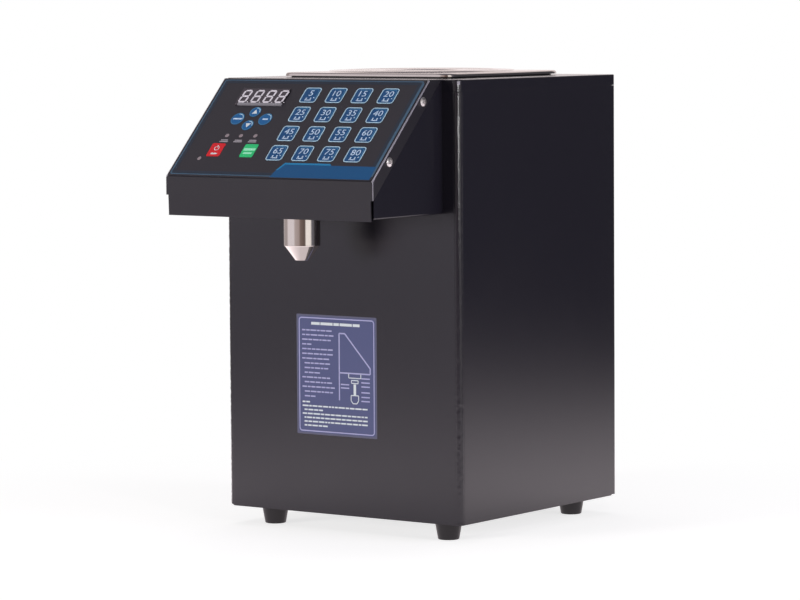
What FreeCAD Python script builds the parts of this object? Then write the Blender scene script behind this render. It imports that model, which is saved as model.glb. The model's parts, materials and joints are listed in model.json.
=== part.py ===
import FreeCAD, Part
import math
import os
import re
import Sketcher
from FreeCAD import Placement, Rotation, Vector

# Counter-top syrup dispenser: a sheet-metal cabinet on four rubber feet, with a tank let into its top,
# a wedge-shaped control head on its front and a nozzle under the head. A motor gear pump inside doses
# the syrup. Millimetres, +Z up, +X to the right, the front faces -Y. The origin is at the middle of the
# footprint, on the surface that the feet stand on.

doc = FreeCAD.newDocument("syrup_dispenser")

# ---------------------------------------------------------------- driving dimensions
DIMENSIONS = {
    "cab_width": 250, "cab_depth": 244, "cab_height": 377, "corner_radius": 6.5, "sheet": 1.2,
    "rear_radius": 2.5, "skirt": 9.5, "seam": 0.3, "reveal": 1.2, "rear_stick": 2.6,
    "foot_height": 16, "foot_x": 93.5, "foot_y": 26.5, "foot_top_r": 11.8, "foot_tip_r": 9.2,
    "head_width": 218, "head_reach": 101.5, "face_run": 82, "face_angle": 45, "lip_drop": 32.8,
    "lip_tuck": 0.6, "notch_top": 15.5, "notch_in": 2.2, "floor_inset": 2.5,
    "strip": 12, "screw_low": 27.3, "screw_high": 95.8, "screw_in": 5.2,
    "film_w": 215.4, "film_margin": 1.15, "film_thick": 1.1, "key_thick": 0.5,
    "key_size": 17.4, "key_round": 3, "key_gap": 0.15, "key_pitch_x": 27.15,
    "key_pitch_y": 22.3, "key_first_x": -4.6, "key_first_y": 29.1, "stem": 3, "board_drop": 8,
    "display_w": 50.3, "display_high": 19, "display_x": -54, "display_y": 92.6, "display_lift": 1.2,
    "tank_w": 164, "tank_d": 158, "tank_deep": 292, "tank_round": 16, "tank_wall": 1,
    "seal_thick": 2.2, "lid_w": 179.5, "lid_d": 173.5, "lid_round": 10, "lid_edge": 3.4,
    "lid_crown": 1.8, "dish_r": 36,
    "outlet_y": 165, "outlet_z": 62, "suction_r": 7.5, "suction_bore": 5,
    "delivery_r": 6, "delivery_bore": 4, "riser_y": 22,
    "pump_y": 52, "pump_z": 46, "gear_module": 2, "gear_teeth": 12, "gear_width": 13.7,
    "gear_pressure": 25, "shaft_r": 4, "housing_back": 12, "housing_face": 8, "cover_thick": 6,
    "motor_r": 21, "motor_long": 74,
    "nozzle_y": 54, "nozzle_r": 15.6, "nozzle_long": 26.6, "nozzle_cone": 12.6, "nozzle_tip_r": 6,
    "ball_r": 4.5, "inlet_x": 62, "inlet_z": 42,
}

sheet = doc.addObject("Spreadsheet::Sheet", "dims")
for row, (alias, number) in enumerate(DIMENSIONS.items(), start=1):
    sheet.set("A%d" % row, alias.replace("_", " "))
    sheet.set("B%d" % row, str(number))
    sheet.setAlias("B%d" % row, alias)
doc.recompute()

# Lengths that follow from the driving ones, as expressions
FRONT = "((head_reach - cab_depth - rear_stick) / 2)"
LIP_TOP = "(cab_height - face_run * tan(face_angle))"
FACE_LENGTH = "(face_run / cos(face_angle))"
SIDE_HIGH = "(cab_height - skirt - seam)"
HEAD_FLOOR = "(cab_height - face_run * tan(face_angle) - lip_drop + 1.4)"
FLANGE_TOP = "(cab_height + seal_thick + tank_wall)"
TANK_BASE = "(cab_height + seal_thick + tank_wall - tank_deep)"
GEAR_OFFSET = "(gear_module * gear_teeth / 2)"
HEAD_BOLTS = [(x, z) for x in ("-head_width/2 + 9", "head_width/2 - 9")
              for z in (HEAD_FLOOR + " + 14", "cab_height - 40")]
FOOT_SPOTS = [(x, y) for x in ("-foot_x", "foot_x") for y in ("foot_y", "cab_depth - foot_y")]
BACK_SCREWS = [(x, z) for x in ("-cab_width/2 + 14", "cab_width/2 - 14")
               for z in ("14", SIDE_HIGH + "/2", SIDE_HIGH + " - 14")]


# ---------------------------------------------------------------- helpers
def full(expression):
    """The expression with every dimension's name led by the sheet's name."""
    return re.sub(r"[a-z_]+", lambda word: "dims." + word.group(0) if word.group(0) in DIMENSIONS
                  else word.group(0), str(expression))


def num(expression):
    """The expression's value now, as a plain number."""
    value = sheet.evalExpression(full(expression))
    return float(getattr(value, "Value", value))


def bind(thing, prop, expression):
    """Ties a property to an expression of the sheet's cells."""
    thing.setExpression(prop, full(expression))


def place(thing, x=0, y=0, z=0, frame="cabinet"):
    """Seats a piece at x, y, z in the cabinet's frame (front plane, underside) or the sloping face's
    frame (x across, y up the slope from the bend, z outwards)."""
    if frame == "face":
        thing.Placement = Placement(Vector(), Rotation(Vector(1, 0, 0), num("face_angle")))
        spots = {"x": "0", "y": FRONT + " - head_reach", "z": "foot_height + " + LIP_TOP}
    else:
        spots = {"x": "(%s)" % x, "y": "%s + (%s)" % (FRONT, y), "z": "foot_height + (%s)" % z}
    for axis, expression in spots.items():
        bind(thing, "Placement.Base." + axis, expression)
    return thing


pieces = []


def keep(thing, label):
    """Marks a finished sub-part for export under its label."""
    thing.Label = label
    pieces.append(thing)
    return thing


def new_body(label, x=0, y=0, z=0, frame="cabinet", kept=True):
    body = doc.addObject("PartDesign::Body", label)
    if frame != "loose":
        place(body, x, y, z, frame)
    return keep(body, label) if kept else body


def new_sketch(body, plane, lift=0):
    """An empty sketch on one of the body's origin planes, lifted along the plane's normal."""
    sketch = body.newObject("Sketcher::SketchObject", body.Name + "_sketch")
    origin = [item for item in body.Origin.OriginFeatures if item.Role == plane + "_Plane"][0]
    sketch.AttachmentSupport = [(origin, "")]
    sketch.MapMode = "FlatFace"
    bind(sketch, "AttachmentOffset.Base.z", lift)
    return sketch


def point_at(item, point, x, y):
    """Rules that hold one point of a sketch's item at x, y."""
    return [(Sketcher.Constraint("DistanceX", -1, 1, item, point, num(x)), x),
            (Sketcher.Constraint("DistanceY", -1, 1, item, point, num(y)), y)]


def radius_of(item, radius):
    return [(Sketcher.Constraint("Radius", item, num(radius)), radius)]


def fasten(sketch, rules):
    """Adds all the rules at once and ties those that carry an expression to the sheet."""
    indices = sketch.addConstraint([constraint for constraint, _expression in rules])
    for index, (_constraint, expression) in zip(indices, rules):
        if expression is not None:
            sketch.setExpression("Constraints[%d]" % index, full(expression))
    return sketch


def draw_polygon(sketch, corners):
    """A closed outline of straight lines through the corners."""
    first, count = sketch.GeometryCount, len(corners)
    spots = [Vector(num(x), num(y), 0) for x, y in corners]
    sketch.addGeometry([Part.LineSegment(spots[k], spots[(k + 1) % count]) for k in range(count)], False)
    rules = []
    for k in range(count):
        following = first + (k + 1) % count
        rules.append((Sketcher.Constraint("Coincident", first + k, 2, following, 1), None))
        rules += point_at(first + k, 1, *corners[k])
    return fasten(sketch, rules)


def draw_circle(sketch, x, y, radius):
    item = sketch.addGeometry(Part.Circle(Vector(num(x), num(y), 0), Vector(0, 0, 1), num(radius)), False)
    return fasten(sketch, point_at(item, 3, x, y) + radius_of(item, radius))


def draw_rectangle(sketch, x, y, width, height):
    """A sharp rectangle about its centre."""
    left, right = "(%s) - (%s)/2" % (x, width), "(%s) + (%s)/2" % (x, width)
    low, high = "(%s) - (%s)/2" % (y, height), "(%s) + (%s)/2" % (y, height)
    return draw_polygon(sketch, [(left, low), (right, low), (right, high), (left, high)])


def draw_rounded(sketch, x, y, width, height, radius):
    """A rectangle about its centre with tangent arcs for corners."""
    first = sketch.GeometryCount
    half_w, half_h, r = num(width) / 2, num(height) / 2, num(radius)
    middle = Vector(num(x), num(y), 0)
    arcs = []
    for quarter, (sx, sy) in enumerate(((1, -1), (1, 1), (-1, 1), (-1, -1))):
        centre = middle + Vector(sx * (half_w - r), sy * (half_h - r), 0)
        start = math.radians(90 * quarter - 90)
        arcs.append(Part.ArcOfCircle(Part.Circle(centre, Vector(0, 0, 1), r), start, start + math.pi / 2))
    sides = [Part.LineSegment(arcs[k].EndPoint, arcs[(k + 1) % 4].StartPoint) for k in range(4)]
    sketch.addGeometry(arcs + sides, False)
    rules = []
    for quarter, (sx, sy) in enumerate((("+", "-"), ("+", "+"), ("-", "+"), ("-", "-"))):
        arc, side, following = first + quarter, first + 4 + quarter, first + (quarter + 1) % 4
        rules.append((Sketcher.Constraint("Tangent", arc, 2, side, 1), None))
        rules.append((Sketcher.Constraint("Tangent", side, 2, following, 1), None))
        rules += point_at(arc, 3, "(%s) %s ((%s)/2 - (%s))" % (x, sx, width, radius),
                          "(%s) %s ((%s)/2 - (%s))" % (y, sy, height, radius))
        rules += radius_of(arc, radius)
    return fasten(sketch, rules)


def pad(body, sketch, length, both_ways=False, backwards=False):
    feature = body.newObject("PartDesign::Pad", body.Name + "_pad")
    feature.Profile = sketch
    bind(feature, "Length", length)
    feature.Midplane = both_ways
    feature.Reversed = backwards
    doc.recompute()
    return feature


def pocket(body, sketch, depth, both_ways=False, backwards=False):
    """Cuts the sketch into the body and makes sure that it did cut."""
    before = body.Shape.Volume
    feature = body.newObject("PartDesign::Pocket", body.Name + "_pocket")
    feature.Profile = sketch
    bind(feature, "Length", depth)
    feature.Midplane = both_ways
    feature.Reversed = backwards
    doc.recompute()
    if not body.Shape.Volume < before - 1e-6:
        raise RuntimeError("a pocket cuts nothing in " + body.Label)
    return feature


def repeat(body, feature, axis, count, length):
    """Repeats a feature along one of the body's origin axes, over the whole length given."""
    pattern = body.newObject("PartDesign::LinearPattern", body.Name + "_row")
    pattern.Originals = [feature]
    line = [item for item in body.Origin.OriginFeatures if item.Role == axis + "_Axis"][0]
    pattern.Direction = (line, [""])
    bind(pattern, "Length", length)
    pattern.Occurrences = count
    body.Tip = pattern
    doc.recompute()
    return pattern


def turn(body, sketch, axis="V_Axis", hollow=False):
    """A full revolution about one of the sketch's axes, added or cut away."""
    kind = "PartDesign::Groove" if hollow else "PartDesign::Revolution"
    feature = body.newObject(kind, body.Name + "_turn")
    feature.Profile = sketch
    feature.ReferenceAxis = (sketch, [axis])
    feature.Angle = 360
    doc.recompute()
    return feature


def soften(body, radius, wanted):
    """Rounds the edges that the test picks, by their middle point and length."""
    base = body.Tip
    names = ["Edge%d" % (k + 1) for k, edge in enumerate(base.Shape.Edges)
             if wanted(edge, edge.valueAt((edge.FirstParameter + edge.LastParameter) / 2))]
    if not names:
        raise RuntimeError("no edge to round on " + body.Label)
    feature = body.newObject("PartDesign::Fillet", body.Name + "_round")
    feature.Base = (base, names)
    bind(feature, "Radius", radius)
    doc.recompute()
    return feature


def block(x, y, z, width, depth, height):
    """A box from its low corner, in the cabinet's frame."""
    box = place(doc.addObject("Part::Box", "block"), x, y, z)
    bind(box, "Length", width)
    bind(box, "Width", depth)
    bind(box, "Height", height)
    return box


def rod(x, y, z, radius, length, towards=(0, 0, 1)):
    """A cylinder from the middle of its first end, in the cabinet's frame."""
    cylinder = doc.addObject("Part::Cylinder", "rod")
    cylinder.Placement = Placement(Vector(), Rotation(Vector(0, 0, 1), Vector(*towards)))
    place(cylinder, x, y, z)
    bind(cylinder, "Radius", radius)
    bind(cylinder, "Height", length)
    return cylinder


def joined(shapes):
    fusion = doc.addObject("Part::MultiFuse", "joined")
    fusion.Shapes = shapes
    return fusion


def without(base, tools):
    cut = doc.addObject("Part::Cut", "cut")
    cut.Base = base
    cut.Tool = joined(tools) if len(tools) > 1 else tools[0]
    return cut


def group(label, members):
    """Several separate solids of one kind, kept under one label."""
    compound = doc.addObject("Part::Compound", label)
    compound.Links = members
    return keep(compound, label)


def copy_of(master, x, y, z, towards):
    """A link to a master piece, set down elsewhere with its +Z turned to the direction given."""
    link = doc.addObject("App::Link", "copy")
    link.LinkedObject = master
    link.LinkTransform = False
    link.Placement = Placement(Vector(), Rotation(Vector(0, 0, 1), Vector(*towards)))
    return place(link, x, y, z)


def upright(edge, _point):
    return abs(edge.tangentAt(edge.FirstParameter).z) > 0.99 and edge.Length > 5


def at_corner(x, y):
    """A test for the two upright edges at plus and minus x."""
    return lambda edge, p: upright(edge, p) and abs(abs(p.x) - x) < 0.01 and abs(p.y - y) < 0.01


# ---------------------------------------------------------------- cabinet
def make_casing():
    """One folded sheet: front, both sides and a return along each rear edge, with bent corners."""
    body = new_body("casing")
    half, back = "cab_width/2", "(cab_depth - sheet)"
    sketch = draw_polygon(new_sketch(body, "XY", "reveal"), [
        ("-%s" % half, back), ("-%s" % half, "0"), (half, "0"), (half, back),
        ("%s - 20" % half, back), ("%s - 20" % half, "%s - sheet" % back),
        ("%s - sheet" % half, "%s - sheet" % back), ("%s - sheet" % half, "sheet"),
        ("sheet - %s" % half, "sheet"), ("sheet - %s" % half, "%s - sheet" % back),
        ("20 - %s" % half, "%s - sheet" % back), ("20 - %s" % half, back)])
    pad(body, sketch, SIDE_HIGH + " - reveal")
    wide, deep, thick = num("cab_width/2"), num(back), num("sheet")
    soften(body, "corner_radius", at_corner(wide, 0))
    soften(body, "corner_radius - sheet", at_corner(wide - thick, thick))
    soften(body, "rear_radius", at_corner(wide, deep))
    soften(body, "rear_radius - sheet", at_corner(wide - thick, deep - thick))
    # window behind the head, for the delivery hose and the keypad's wires
    window = draw_rounded(new_sketch(body, "XZ"), 0, "(cab_height - 62)", 120, 60, 8)
    pocket(body, window, 5)
    # bolt holes for the head's rear flanges
    holes = new_sketch(body, "XZ")
    for x, z in HEAD_BOLTS:
        draw_circle(holes, x, z, 2.25)
    pocket(body, holes, 5)
    # pierced holes in the rear returns, for the back panel's screws
    pierced = new_sketch(body, "XZ", "-cab_depth")
    for x, z in BACK_SCREWS:
        draw_circle(pierced, x, z, 1.95)
    pocket(body, pierced, 5, backwards=True)


def make_top_cover():
    """Pressed top with a skirt that meets the casing at a fine seam, and a lap inside the seam."""
    body = new_body("top_cover")
    outline = draw_rectangle(new_sketch(body, "XY", "cab_height - skirt"), 0, "(cab_depth - sheet)/2",
                             "cab_width", "cab_depth - sheet")
    pad(body, outline, "skirt")
    soften(body, "corner_radius", at_corner(num("cab_width/2"), 0))
    soften(body, "rear_radius", at_corner(num("cab_width/2"), num("cab_depth - sheet")))
    inside = draw_rounded(new_sketch(body, "XY", "cab_height - skirt"), 0, "(cab_depth - sheet)/2",
                          "cab_width - 2*sheet", "cab_depth - 3*sheet", "corner_radius - sheet")
    pocket(body, inside, "skirt - sheet", backwards=True)
    mouth = draw_rounded(new_sketch(body, "XY", "cab_height"), 0, "cab_depth/2",
                         "tank_w + 1.5", "tank_d + 1.5", "tank_round + 0.75")
    pocket(body, mouth, 5)
    top, middle = num("cab_height"), num("cab_depth/2")
    soften(body, 1, lambda edge, p: abs(p.z - top) < 0.01 and edge.BoundBox.ZLength < 0.01
           and (abs(p.x) > num("cab_width/2 - 4") or abs(p.y - middle) > num("cab_depth/2 - 4")))
    lap = new_sketch(body, "XY", "cab_height - skirt - 10")
    draw_rounded(lap, 0, "cab_depth/2", "cab_width - 2*sheet - 0.3", "cab_depth - 4*sheet - 0.6",
                 "corner_radius - sheet - 0.15")
    draw_rounded(lap, 0, "cab_depth/2", "cab_width - 4*sheet - 0.3", "cab_depth - 6*sheet - 0.6",
                 "corner_radius - 2*sheet - 0.15")
    pad(body, lap, "10 + skirt - sheet/2")


def make_base_plate():
    """Tray that closes the cabinet from below: turned-up rim, two rows of vent slots, foot holes."""
    body = new_body("base_plate")
    middle = "cab_depth/2 - sheet/2"
    outline = draw_rounded(new_sketch(body, "XY"), 0, middle, "cab_width - 2*sheet - 0.3",
                           "cab_depth - 3*sheet - 0.3", "corner_radius - sheet")
    pad(body, outline, 12)
    inside = draw_rounded(new_sketch(body, "XY", "1.5"), 0, middle, "cab_width - 4*sheet - 0.3",
                          "cab_depth - 5*sheet - 0.3", "corner_radius - 2*sheet")
    pocket(body, inside, 15, backwards=True)
    slot = draw_rounded(new_sketch(body, "XY"), "-60", 108, 5, 34, 2.4)
    first = pocket(body, slot, 4, backwards=True)
    repeat(body, first, "X", 8, 70)
    holes = new_sketch(body, "XY")
    for x, y in FOOT_SPOTS:
        draw_circle(holes, x, y, 2.3)
    pocket(body, holes, 4, backwards=True)


def make_back_panel():
    """Flat rear cover with two ladders of vent slots and the cut-out for the mains inlet."""
    body = new_body("back_panel")
    plate = draw_rounded(new_sketch(body, "XZ", "-cab_depth"), 0, SIDE_HIGH + "/2",
                         "cab_width - 2*corner_radius", SIDE_HIGH + " - 1", 2)
    pad(body, plate, "sheet")
    for x in (-72, -28):
        slot = draw_rounded(new_sketch(body, "XZ", "-cab_depth"), x, 26, 34, 4, 1.9)
        first = pocket(body, slot, 4, backwards=True)
        repeat(body, first, "Z", 7, 54)
    openings = draw_rectangle(new_sketch(body, "XZ", "-cab_depth"), "inlet_x", "inlet_z", 27.4, 48.4)
    for x, z in BACK_SCREWS:
        draw_circle(openings, x, z, 2.2)
    pocket(body, openings, 4, backwards=True)


def make_pan_screw(length):
    """Master of an M4 pan-head screw along -Z, with a cross recess; its head stands above Z = 0."""
    body = new_body("pan_screw", frame="loose", kept=False)
    sketch = draw_polygon(new_sketch(body, "XZ"), [
        ("0", "-%s" % length), ("1.9", "-%s" % length), ("1.9", "0"), ("4", "0"), ("4", "1.2"),
        ("3.1", "2.3"), ("1.6", "2.6"), ("0", "2.6")])
    turn(body, sketch)
    cross = new_sketch(body, "XY", "2.6")
    draw_polygon(cross, [
        ("-2", "-0.35"), ("-0.35", "-0.35"), ("-0.35", "-2"), ("0.35", "-2"), ("0.35", "-0.35"),
        ("2", "-0.35"), ("2", "0.35"), ("0.35", "0.35"), ("0.35", "2"), ("-0.35", "2"),
        ("-0.35", "0.35"), ("-2", "0.35")])
    pocket(body, cross, 1.2)
    return body


def make_feet():
    """Four tapered rubber feet, each with a deep recess for its screw."""
    feet = []
    for x, y in FOOT_SPOTS:
        foot = new_body("rubber_foot", x, y, "-foot_height", kept=False)
        sketch = draw_polygon(new_sketch(foot, "XZ"), [
            ("2.3", "foot_height"), ("foot_top_r", "foot_height"), ("foot_top_r", "foot_height - 1"),
            ("foot_tip_r", "0.5"), ("foot_tip_r - 0.5", "0"), ("5", "0"), ("5", "foot_height - 7"),
            ("2.3", "foot_height - 7")])
        turn(foot, sketch)
        feet.append(foot)
    group("rubber_feet", feet)


def place_cabinet_screws(screw):
    """Screws through the back panel, up through the feet, and out of the cabinet into the head."""
    links = [copy_of(screw, x, "cab_depth", z, (0, 1, 0)) for x, z in BACK_SCREWS]
    links += [copy_of(screw, x, y, "-7", (0, 0, -1)) for x, y in FOOT_SPOTS]
    links += [copy_of(screw, x, "sheet", z, (0, 1, 0)) for x, z in HEAD_BOLTS]
    group("cabinet_screws", links)


def make_power_inlet():
    """Panel-mount module: three-pin mains inlet below, frame of the rocker switch above."""
    body = new_body("power_inlet", "inlet_x", "cab_depth", "inlet_z")
    pad(body, draw_rounded(new_sketch(body, "XZ"), 0, 0, 31.4, 52.4, 2), 2, backwards=True)
    pad(body, draw_rectangle(new_sketch(body, "XZ"), 0, 0, 27, 48), 21)
    socket = draw_polygon(new_sketch(body, "XZ", "-2"), [
        ("-12.3", "-20.5"), ("12.3", "-20.5"), ("12.3", "-8.5"), ("8.3", "-4"), ("-8.3", "-4"),
        ("-12.3", "-8.5")])
    pocket(body, socket, 17, backwards=True)
    pocket(body, draw_rectangle(new_sketch(body, "XZ", "-2"), 0, 11, 13.4, 18.6), 18, backwards=True)
    pins = new_sketch(body, "XZ", "15")
    for x, z in ((-7, -14.5), (0, -10.5), (7, -14.5)):
        draw_rectangle(pins, x, z, 2, 4)
    pad(body, pins, 11, backwards=True)
    tabs = new_sketch(body, "XZ", "21")
    for x, z in ((-7, -14), (7, -14), (0, -6), (-4, 10), (4, 10)):
        draw_rectangle(tabs, x, z, 0.8, 4.8)
    pad(body, tabs, 8)


def make_power_rocker():
    """Rocker that tips about a pin across its middle; it rests with its lower end pressed in."""
    body = new_body("power_rocker", "inlet_x", "cab_depth - 2.5", "inlet_z + 11")
    sketch = draw_polygon(new_sketch(body, "YZ"), [
        ("-1.5", "-7.4"), ("3.8", "-7.2"), ("2.6", "0"), ("3.8", "7.2"), ("-1.5", "7.4"),
        ("-6.5", "2.6"), ("-6.5", "-2.6")])
    pad(body, sketch, 12.6, both_ways=True)
    body.Placement = Placement(body.Placement.Base, Rotation(Vector(1, 0, 0), 9))


# ---------------------------------------------------------------- tank and lid
def make_tank():
    """Deep-drawn stainless tank with rounded corners and floor, hung by a flat flange."""
    body = new_body("syrup_tank", 0, "cab_depth/2", 0)
    pad(body, draw_rounded(new_sketch(body, "XY", TANK_BASE), 0, 0, "tank_w", "tank_d", "tank_round"),
        "tank_deep")
    inside = draw_rounded(new_sketch(body, "XY", FLANGE_TOP), 0, 0, "tank_w - 2*tank_wall",
                          "tank_d - 2*tank_wall", "tank_round - tank_wall")
    pocket(body, inside, "tank_deep - tank_wall")
    floor, wall = num(TANK_BASE), num("tank_wall")
    soften(body, "9 - tank_wall", lambda edge, p: abs(p.z - floor - wall) < 0.01)
    soften(body, 9, lambda edge, p: abs(p.z - floor) < 0.01)
    flange = new_sketch(body, "XY", FLANGE_TOP + " - tank_wall")
    draw_rounded(flange, 0, 0, "tank_w + 12", "tank_d + 12", "tank_round - 6.5")
    draw_rounded(flange, 0, 0, "tank_w - 2*tank_wall", "tank_d - 2*tank_wall", "tank_round - tank_wall")
    pad(body, flange, "tank_wall")
    outlet = draw_circle(new_sketch(body, "XY", TANK_BASE), 0, "outlet_y - cab_depth/2", 9.8)
    pocket(body, outlet, 6, backwards=True)


def make_tank_seal():
    """Flat rubber frame between the top cover and the tank's flange."""
    body = new_body("tank_seal", 0, "cab_depth/2", "cab_height")
    frame = new_sketch(body, "XY")
    draw_rounded(frame, 0, 0, "tank_w + 9", "tank_d + 9", "tank_round - 5")
    draw_rounded(frame, 0, 0, "tank_w + 2", "tank_d + 2", "tank_round + 1")
    pad(body, frame, "seal_thick")


def make_lid():
    """Pressed lid: turned-down edge, shallow raised field, round finger dish with a welded bar."""
    body = new_body("tank_lid", 0, "cab_depth/2", FLANGE_TOP + " + tank_wall - lid_edge + 0.05")
    outer = draw_rounded(new_sketch(body, "XY"), 0, 0, "lid_w", "lid_d", "lid_round")
    pad(body, outer, "lid_edge")

    def crown(low, high, inset, hollow):
        lower = draw_rounded(new_sketch(body, "XY", low), 0, 0, "lid_w - 2*(%s)" % inset,
                             "lid_d - 2*(%s)" % inset, "lid_round - (%s)" % inset)
        upper = draw_rounded(new_sketch(body, "XY", high), 0, 0, "lid_w - 34 - 2*(%s)" % inset,
                             "lid_d - 34 - 2*(%s)" % inset, "lid_round + 8 - (%s)" % inset)
        kind = "PartDesign::SubtractiveLoft" if hollow else "PartDesign::AdditiveLoft"
        loft = body.newObject(kind, "lid_crown")
        loft.Profile = lower
        loft.Sections = [upper]
        loft.Ruled = True
        doc.recompute()

    crown("lid_edge", "lid_edge + lid_crown", 0, False)
    pocket(body, draw_rounded(new_sketch(body, "XY"), 0, 0, "lid_w - 2*tank_wall",
                              "lid_d - 2*tank_wall", "lid_round - tank_wall"),
           "lid_edge - tank_wall", backwards=True)
    crown("lid_edge - tank_wall", "lid_edge + lid_crown - tank_wall", "tank_wall", True)
    top = "lid_edge + lid_crown"
    boss = draw_polygon(new_sketch(body, "XZ"), [
        ("0", "%s - 12" % top), ("dish_r - 9", "%s - 12" % top), ("dish_r + 1", "%s - 6" % top),
        ("dish_r + 3", "%s - 0.5" % top), ("0", "%s - 0.5" % top)])
    turn(body, boss)
    bowl = draw_polygon(new_sketch(body, "XZ"), [
        ("0", "%s - 11" % top), ("dish_r - 9.4", "%s - 11" % top), ("dish_r", "%s - 5.6" % top),
        ("dish_r + 2", "%s + 1" % top), ("0", "%s + 1" % top)])
    turn(body, bowl, hollow=True)
    bar = draw_rounded(new_sketch(body, "XY", "%s - 3.2" % top), 0, 0, "2*dish_r + 3.4", 16, 1.5)
    pad(body, bar, 1.8)


# ---------------------------------------------------------------- tank outlet and hoses
def make_tank_outlet():
    """Bulkhead elbow: flange inside the tank, threaded neck through its floor, barb to the front."""
    y, z = "outlet_y", "outlet_z"
    solid = joined([
        rod(0, y, TANK_BASE + " + tank_wall", 15, 2.5),
        rod(0, y, z, 9.4, "%s + tank_wall + 1 - outlet_z" % TANK_BASE),
        rod(0, y, z + " - 9.4", 9.4, 9.4),
        rod(0, y, z, 8, 12, (0, -1, 0)),
        rod(0, y, z, "suction_bore - 0.1", 32, (0, -1, 0))])
    bores = [rod(0, y, z, 3.6, 60), rod(0, y, z, 3.6, 40, (0, -1, 0))]
    keep(without(solid, bores), "tank_outlet")


def make_outlet_nut():
    """Hexagon nut that clamps the elbow under the tank's floor."""
    body = new_body("outlet_nut", 0, "outlet_y", TANK_BASE + " - 7")
    sketch = new_sketch(body, "XY")
    flats = ["%.5f" % (15 / math.cos(math.pi / 6) * f(math.radians(60 * k + 30)))
             for k in range(6) for f in (math.cos, math.sin)]
    draw_polygon(sketch, list(zip(flats[0::2], flats[1::2])))
    draw_circle(sketch, 0, 0, 9.7)
    pad(body, sketch, 7)


def make_hose(label, corners, outer, bore, share=0.45):
    """Hose swept along straight runs joined by tangent arcs; corners are (x, y, z) expressions."""
    spots = [Vector(num(x), num(y), num(z)) for x, y, z in corners]
    edges, start = [], spots[0]
    for before, corner, after in zip(spots, spots[1:], spots[2:]):
        into, out = (corner - before), (after - corner)
        half_turn = into.getAngle(out) / 2
        reach = share * min(into.Length, out.Length)
        into.normalize()
        out.normalize()
        a, b = corner - into * reach, corner + out * reach
        bisector = out - into
        bisector.normalize()
        radius = reach / math.tan(half_turn)
        middle = corner + bisector * (radius / math.cos(half_turn) - radius)
        print(label, "bend radius %.1f mm" % radius)
        edges += [Part.LineSegment(start, a).toShape(), Part.Arc(a, middle, b).toShape()]
        start = b
    edges.append(Part.LineSegment(start, spots[-1]).toShape())
    path = Part.Wire(edges)
    along = spots[1] - spots[0]

    def sweep(radius):
        ring = Part.Wire(Part.Circle(spots[0], along, radius).toShape())
        return path.makePipeShell([ring], True, False)
    hose = doc.addObject("Part::Feature", label)
    hose.Shape = sweep(num(outer)).cut(sweep(num(bore)))
    place(hose)
    return keep(hose, label)


def make_hoses():
    make_hose("suction_hose", [
        ("0", "outlet_y - 12.2", "outlet_z"), ("0", "outlet_y - 41", "outlet_z"),
        ("0", "pump_y + 52", "pump_z"), ("0", "pump_y + 22.4", "pump_z")],
        "suction_r", "suction_bore")
    crest = HEAD_FLOOR + " + 30 + (nozzle_y + riser_y)/2"
    make_hose("delivery_hose", [
        ("0", "riser_y", "pump_z + 14.2"), ("0", "riser_y", crest),
        ("0", "-nozzle_y", crest), ("0", "-nozzle_y", HEAD_FLOOR + " + 9.4")],
        "delivery_r", "delivery_bore", 0.49)


def make_hose_clamps():
    """A screw-tightened band on each hose end, its lug to the right."""
    def clamp(y, z, radius, towards):
        ring = rod(0, y, z, radius + " + 0.9", 6, towards)
        hole = rod(0, y, z, radius, 6, towards)
        lug = block(radius + " + 0.5", "%s - 2.5 + 3*(%d)" % (y, towards[1]),
                    "%s - 2.5 + 3*(%d)" % (z, towards[2]), 4, 5, 5)
        return without(joined([ring, lug]), [hole])
    group("hose_clamps", [
        clamp("outlet_y - 17", "outlet_z", "suction_r", (0, -1, 0)),
        clamp("pump_y + 34", "pump_z", "suction_r", (0, -1, 0)),
        clamp("riser_y", "pump_z + 19", "delivery_r", (0, 0, 1)),
        clamp("-nozzle_y", HEAD_FLOOR + " + 15", "delivery_r", (0, 0, 1))])


# ---------------------------------------------------------------- gear pump and motor
def draw_stadium(sketch, radius, half_length):
    """Two half circles about both gear axes and the lines that join them."""
    r, high = num(radius), num(half_length)
    out = Vector(0, 0, 1)
    upper = Part.ArcOfCircle(Part.Circle(Vector(0, high, 0), out, r), 0, math.pi)
    lower = Part.ArcOfCircle(Part.Circle(Vector(0, -high, 0), out, r), math.pi, 2 * math.pi)
    left = Part.LineSegment(Vector(-r, high, 0), Vector(-r, -high, 0))
    right = Part.LineSegment(Vector(r, -high, 0), Vector(r, high, 0))
    sketch.addGeometry([upper, left, lower, right], False)
    rules = [(Sketcher.Constraint("Tangent", k, 2, (k + 1) % 4, 1), None) for k in range(4)]
    rules += point_at(0, 3, 0, half_length) + point_at(2, 3, 0, "-(%s)" % half_length)
    return fasten(sketch, rules + radius_of(0, radius))


def draw_eight(sketch, radius, half_length):
    """Two overlapping circles about both gear axes, as two arcs that meet at the waist."""
    r, high = num(radius), num(half_length)
    waist, out = math.asin(high / r), Vector(0, 0, 1)
    upper = Part.ArcOfCircle(Part.Circle(Vector(0, high, 0), out, r), -waist, math.pi + waist)
    lower = Part.ArcOfCircle(Part.Circle(Vector(0, -high, 0), out, r), math.pi - waist,
                             2 * math.pi + waist)
    sketch.addGeometry([upper, lower], False)
    rules = [(Sketcher.Constraint("Coincident", 0, 2, 1, 1), None),
             (Sketcher.Constraint("Coincident", 1, 2, 0, 1), None)]
    rules += point_at(0, 3, 0, half_length) + point_at(1, 3, 0, "-(%s)" % half_length)
    return fasten(sketch, rules + radius_of(0, radius) + radius_of(1, radius))


PUMP_HOLES = [(-15.5, 0), (15.5, 0), (0, "-%s - 16.5" % GEAR_OFFSET), (0, "%s + 16.5" % GEAR_OFFSET)]


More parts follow.
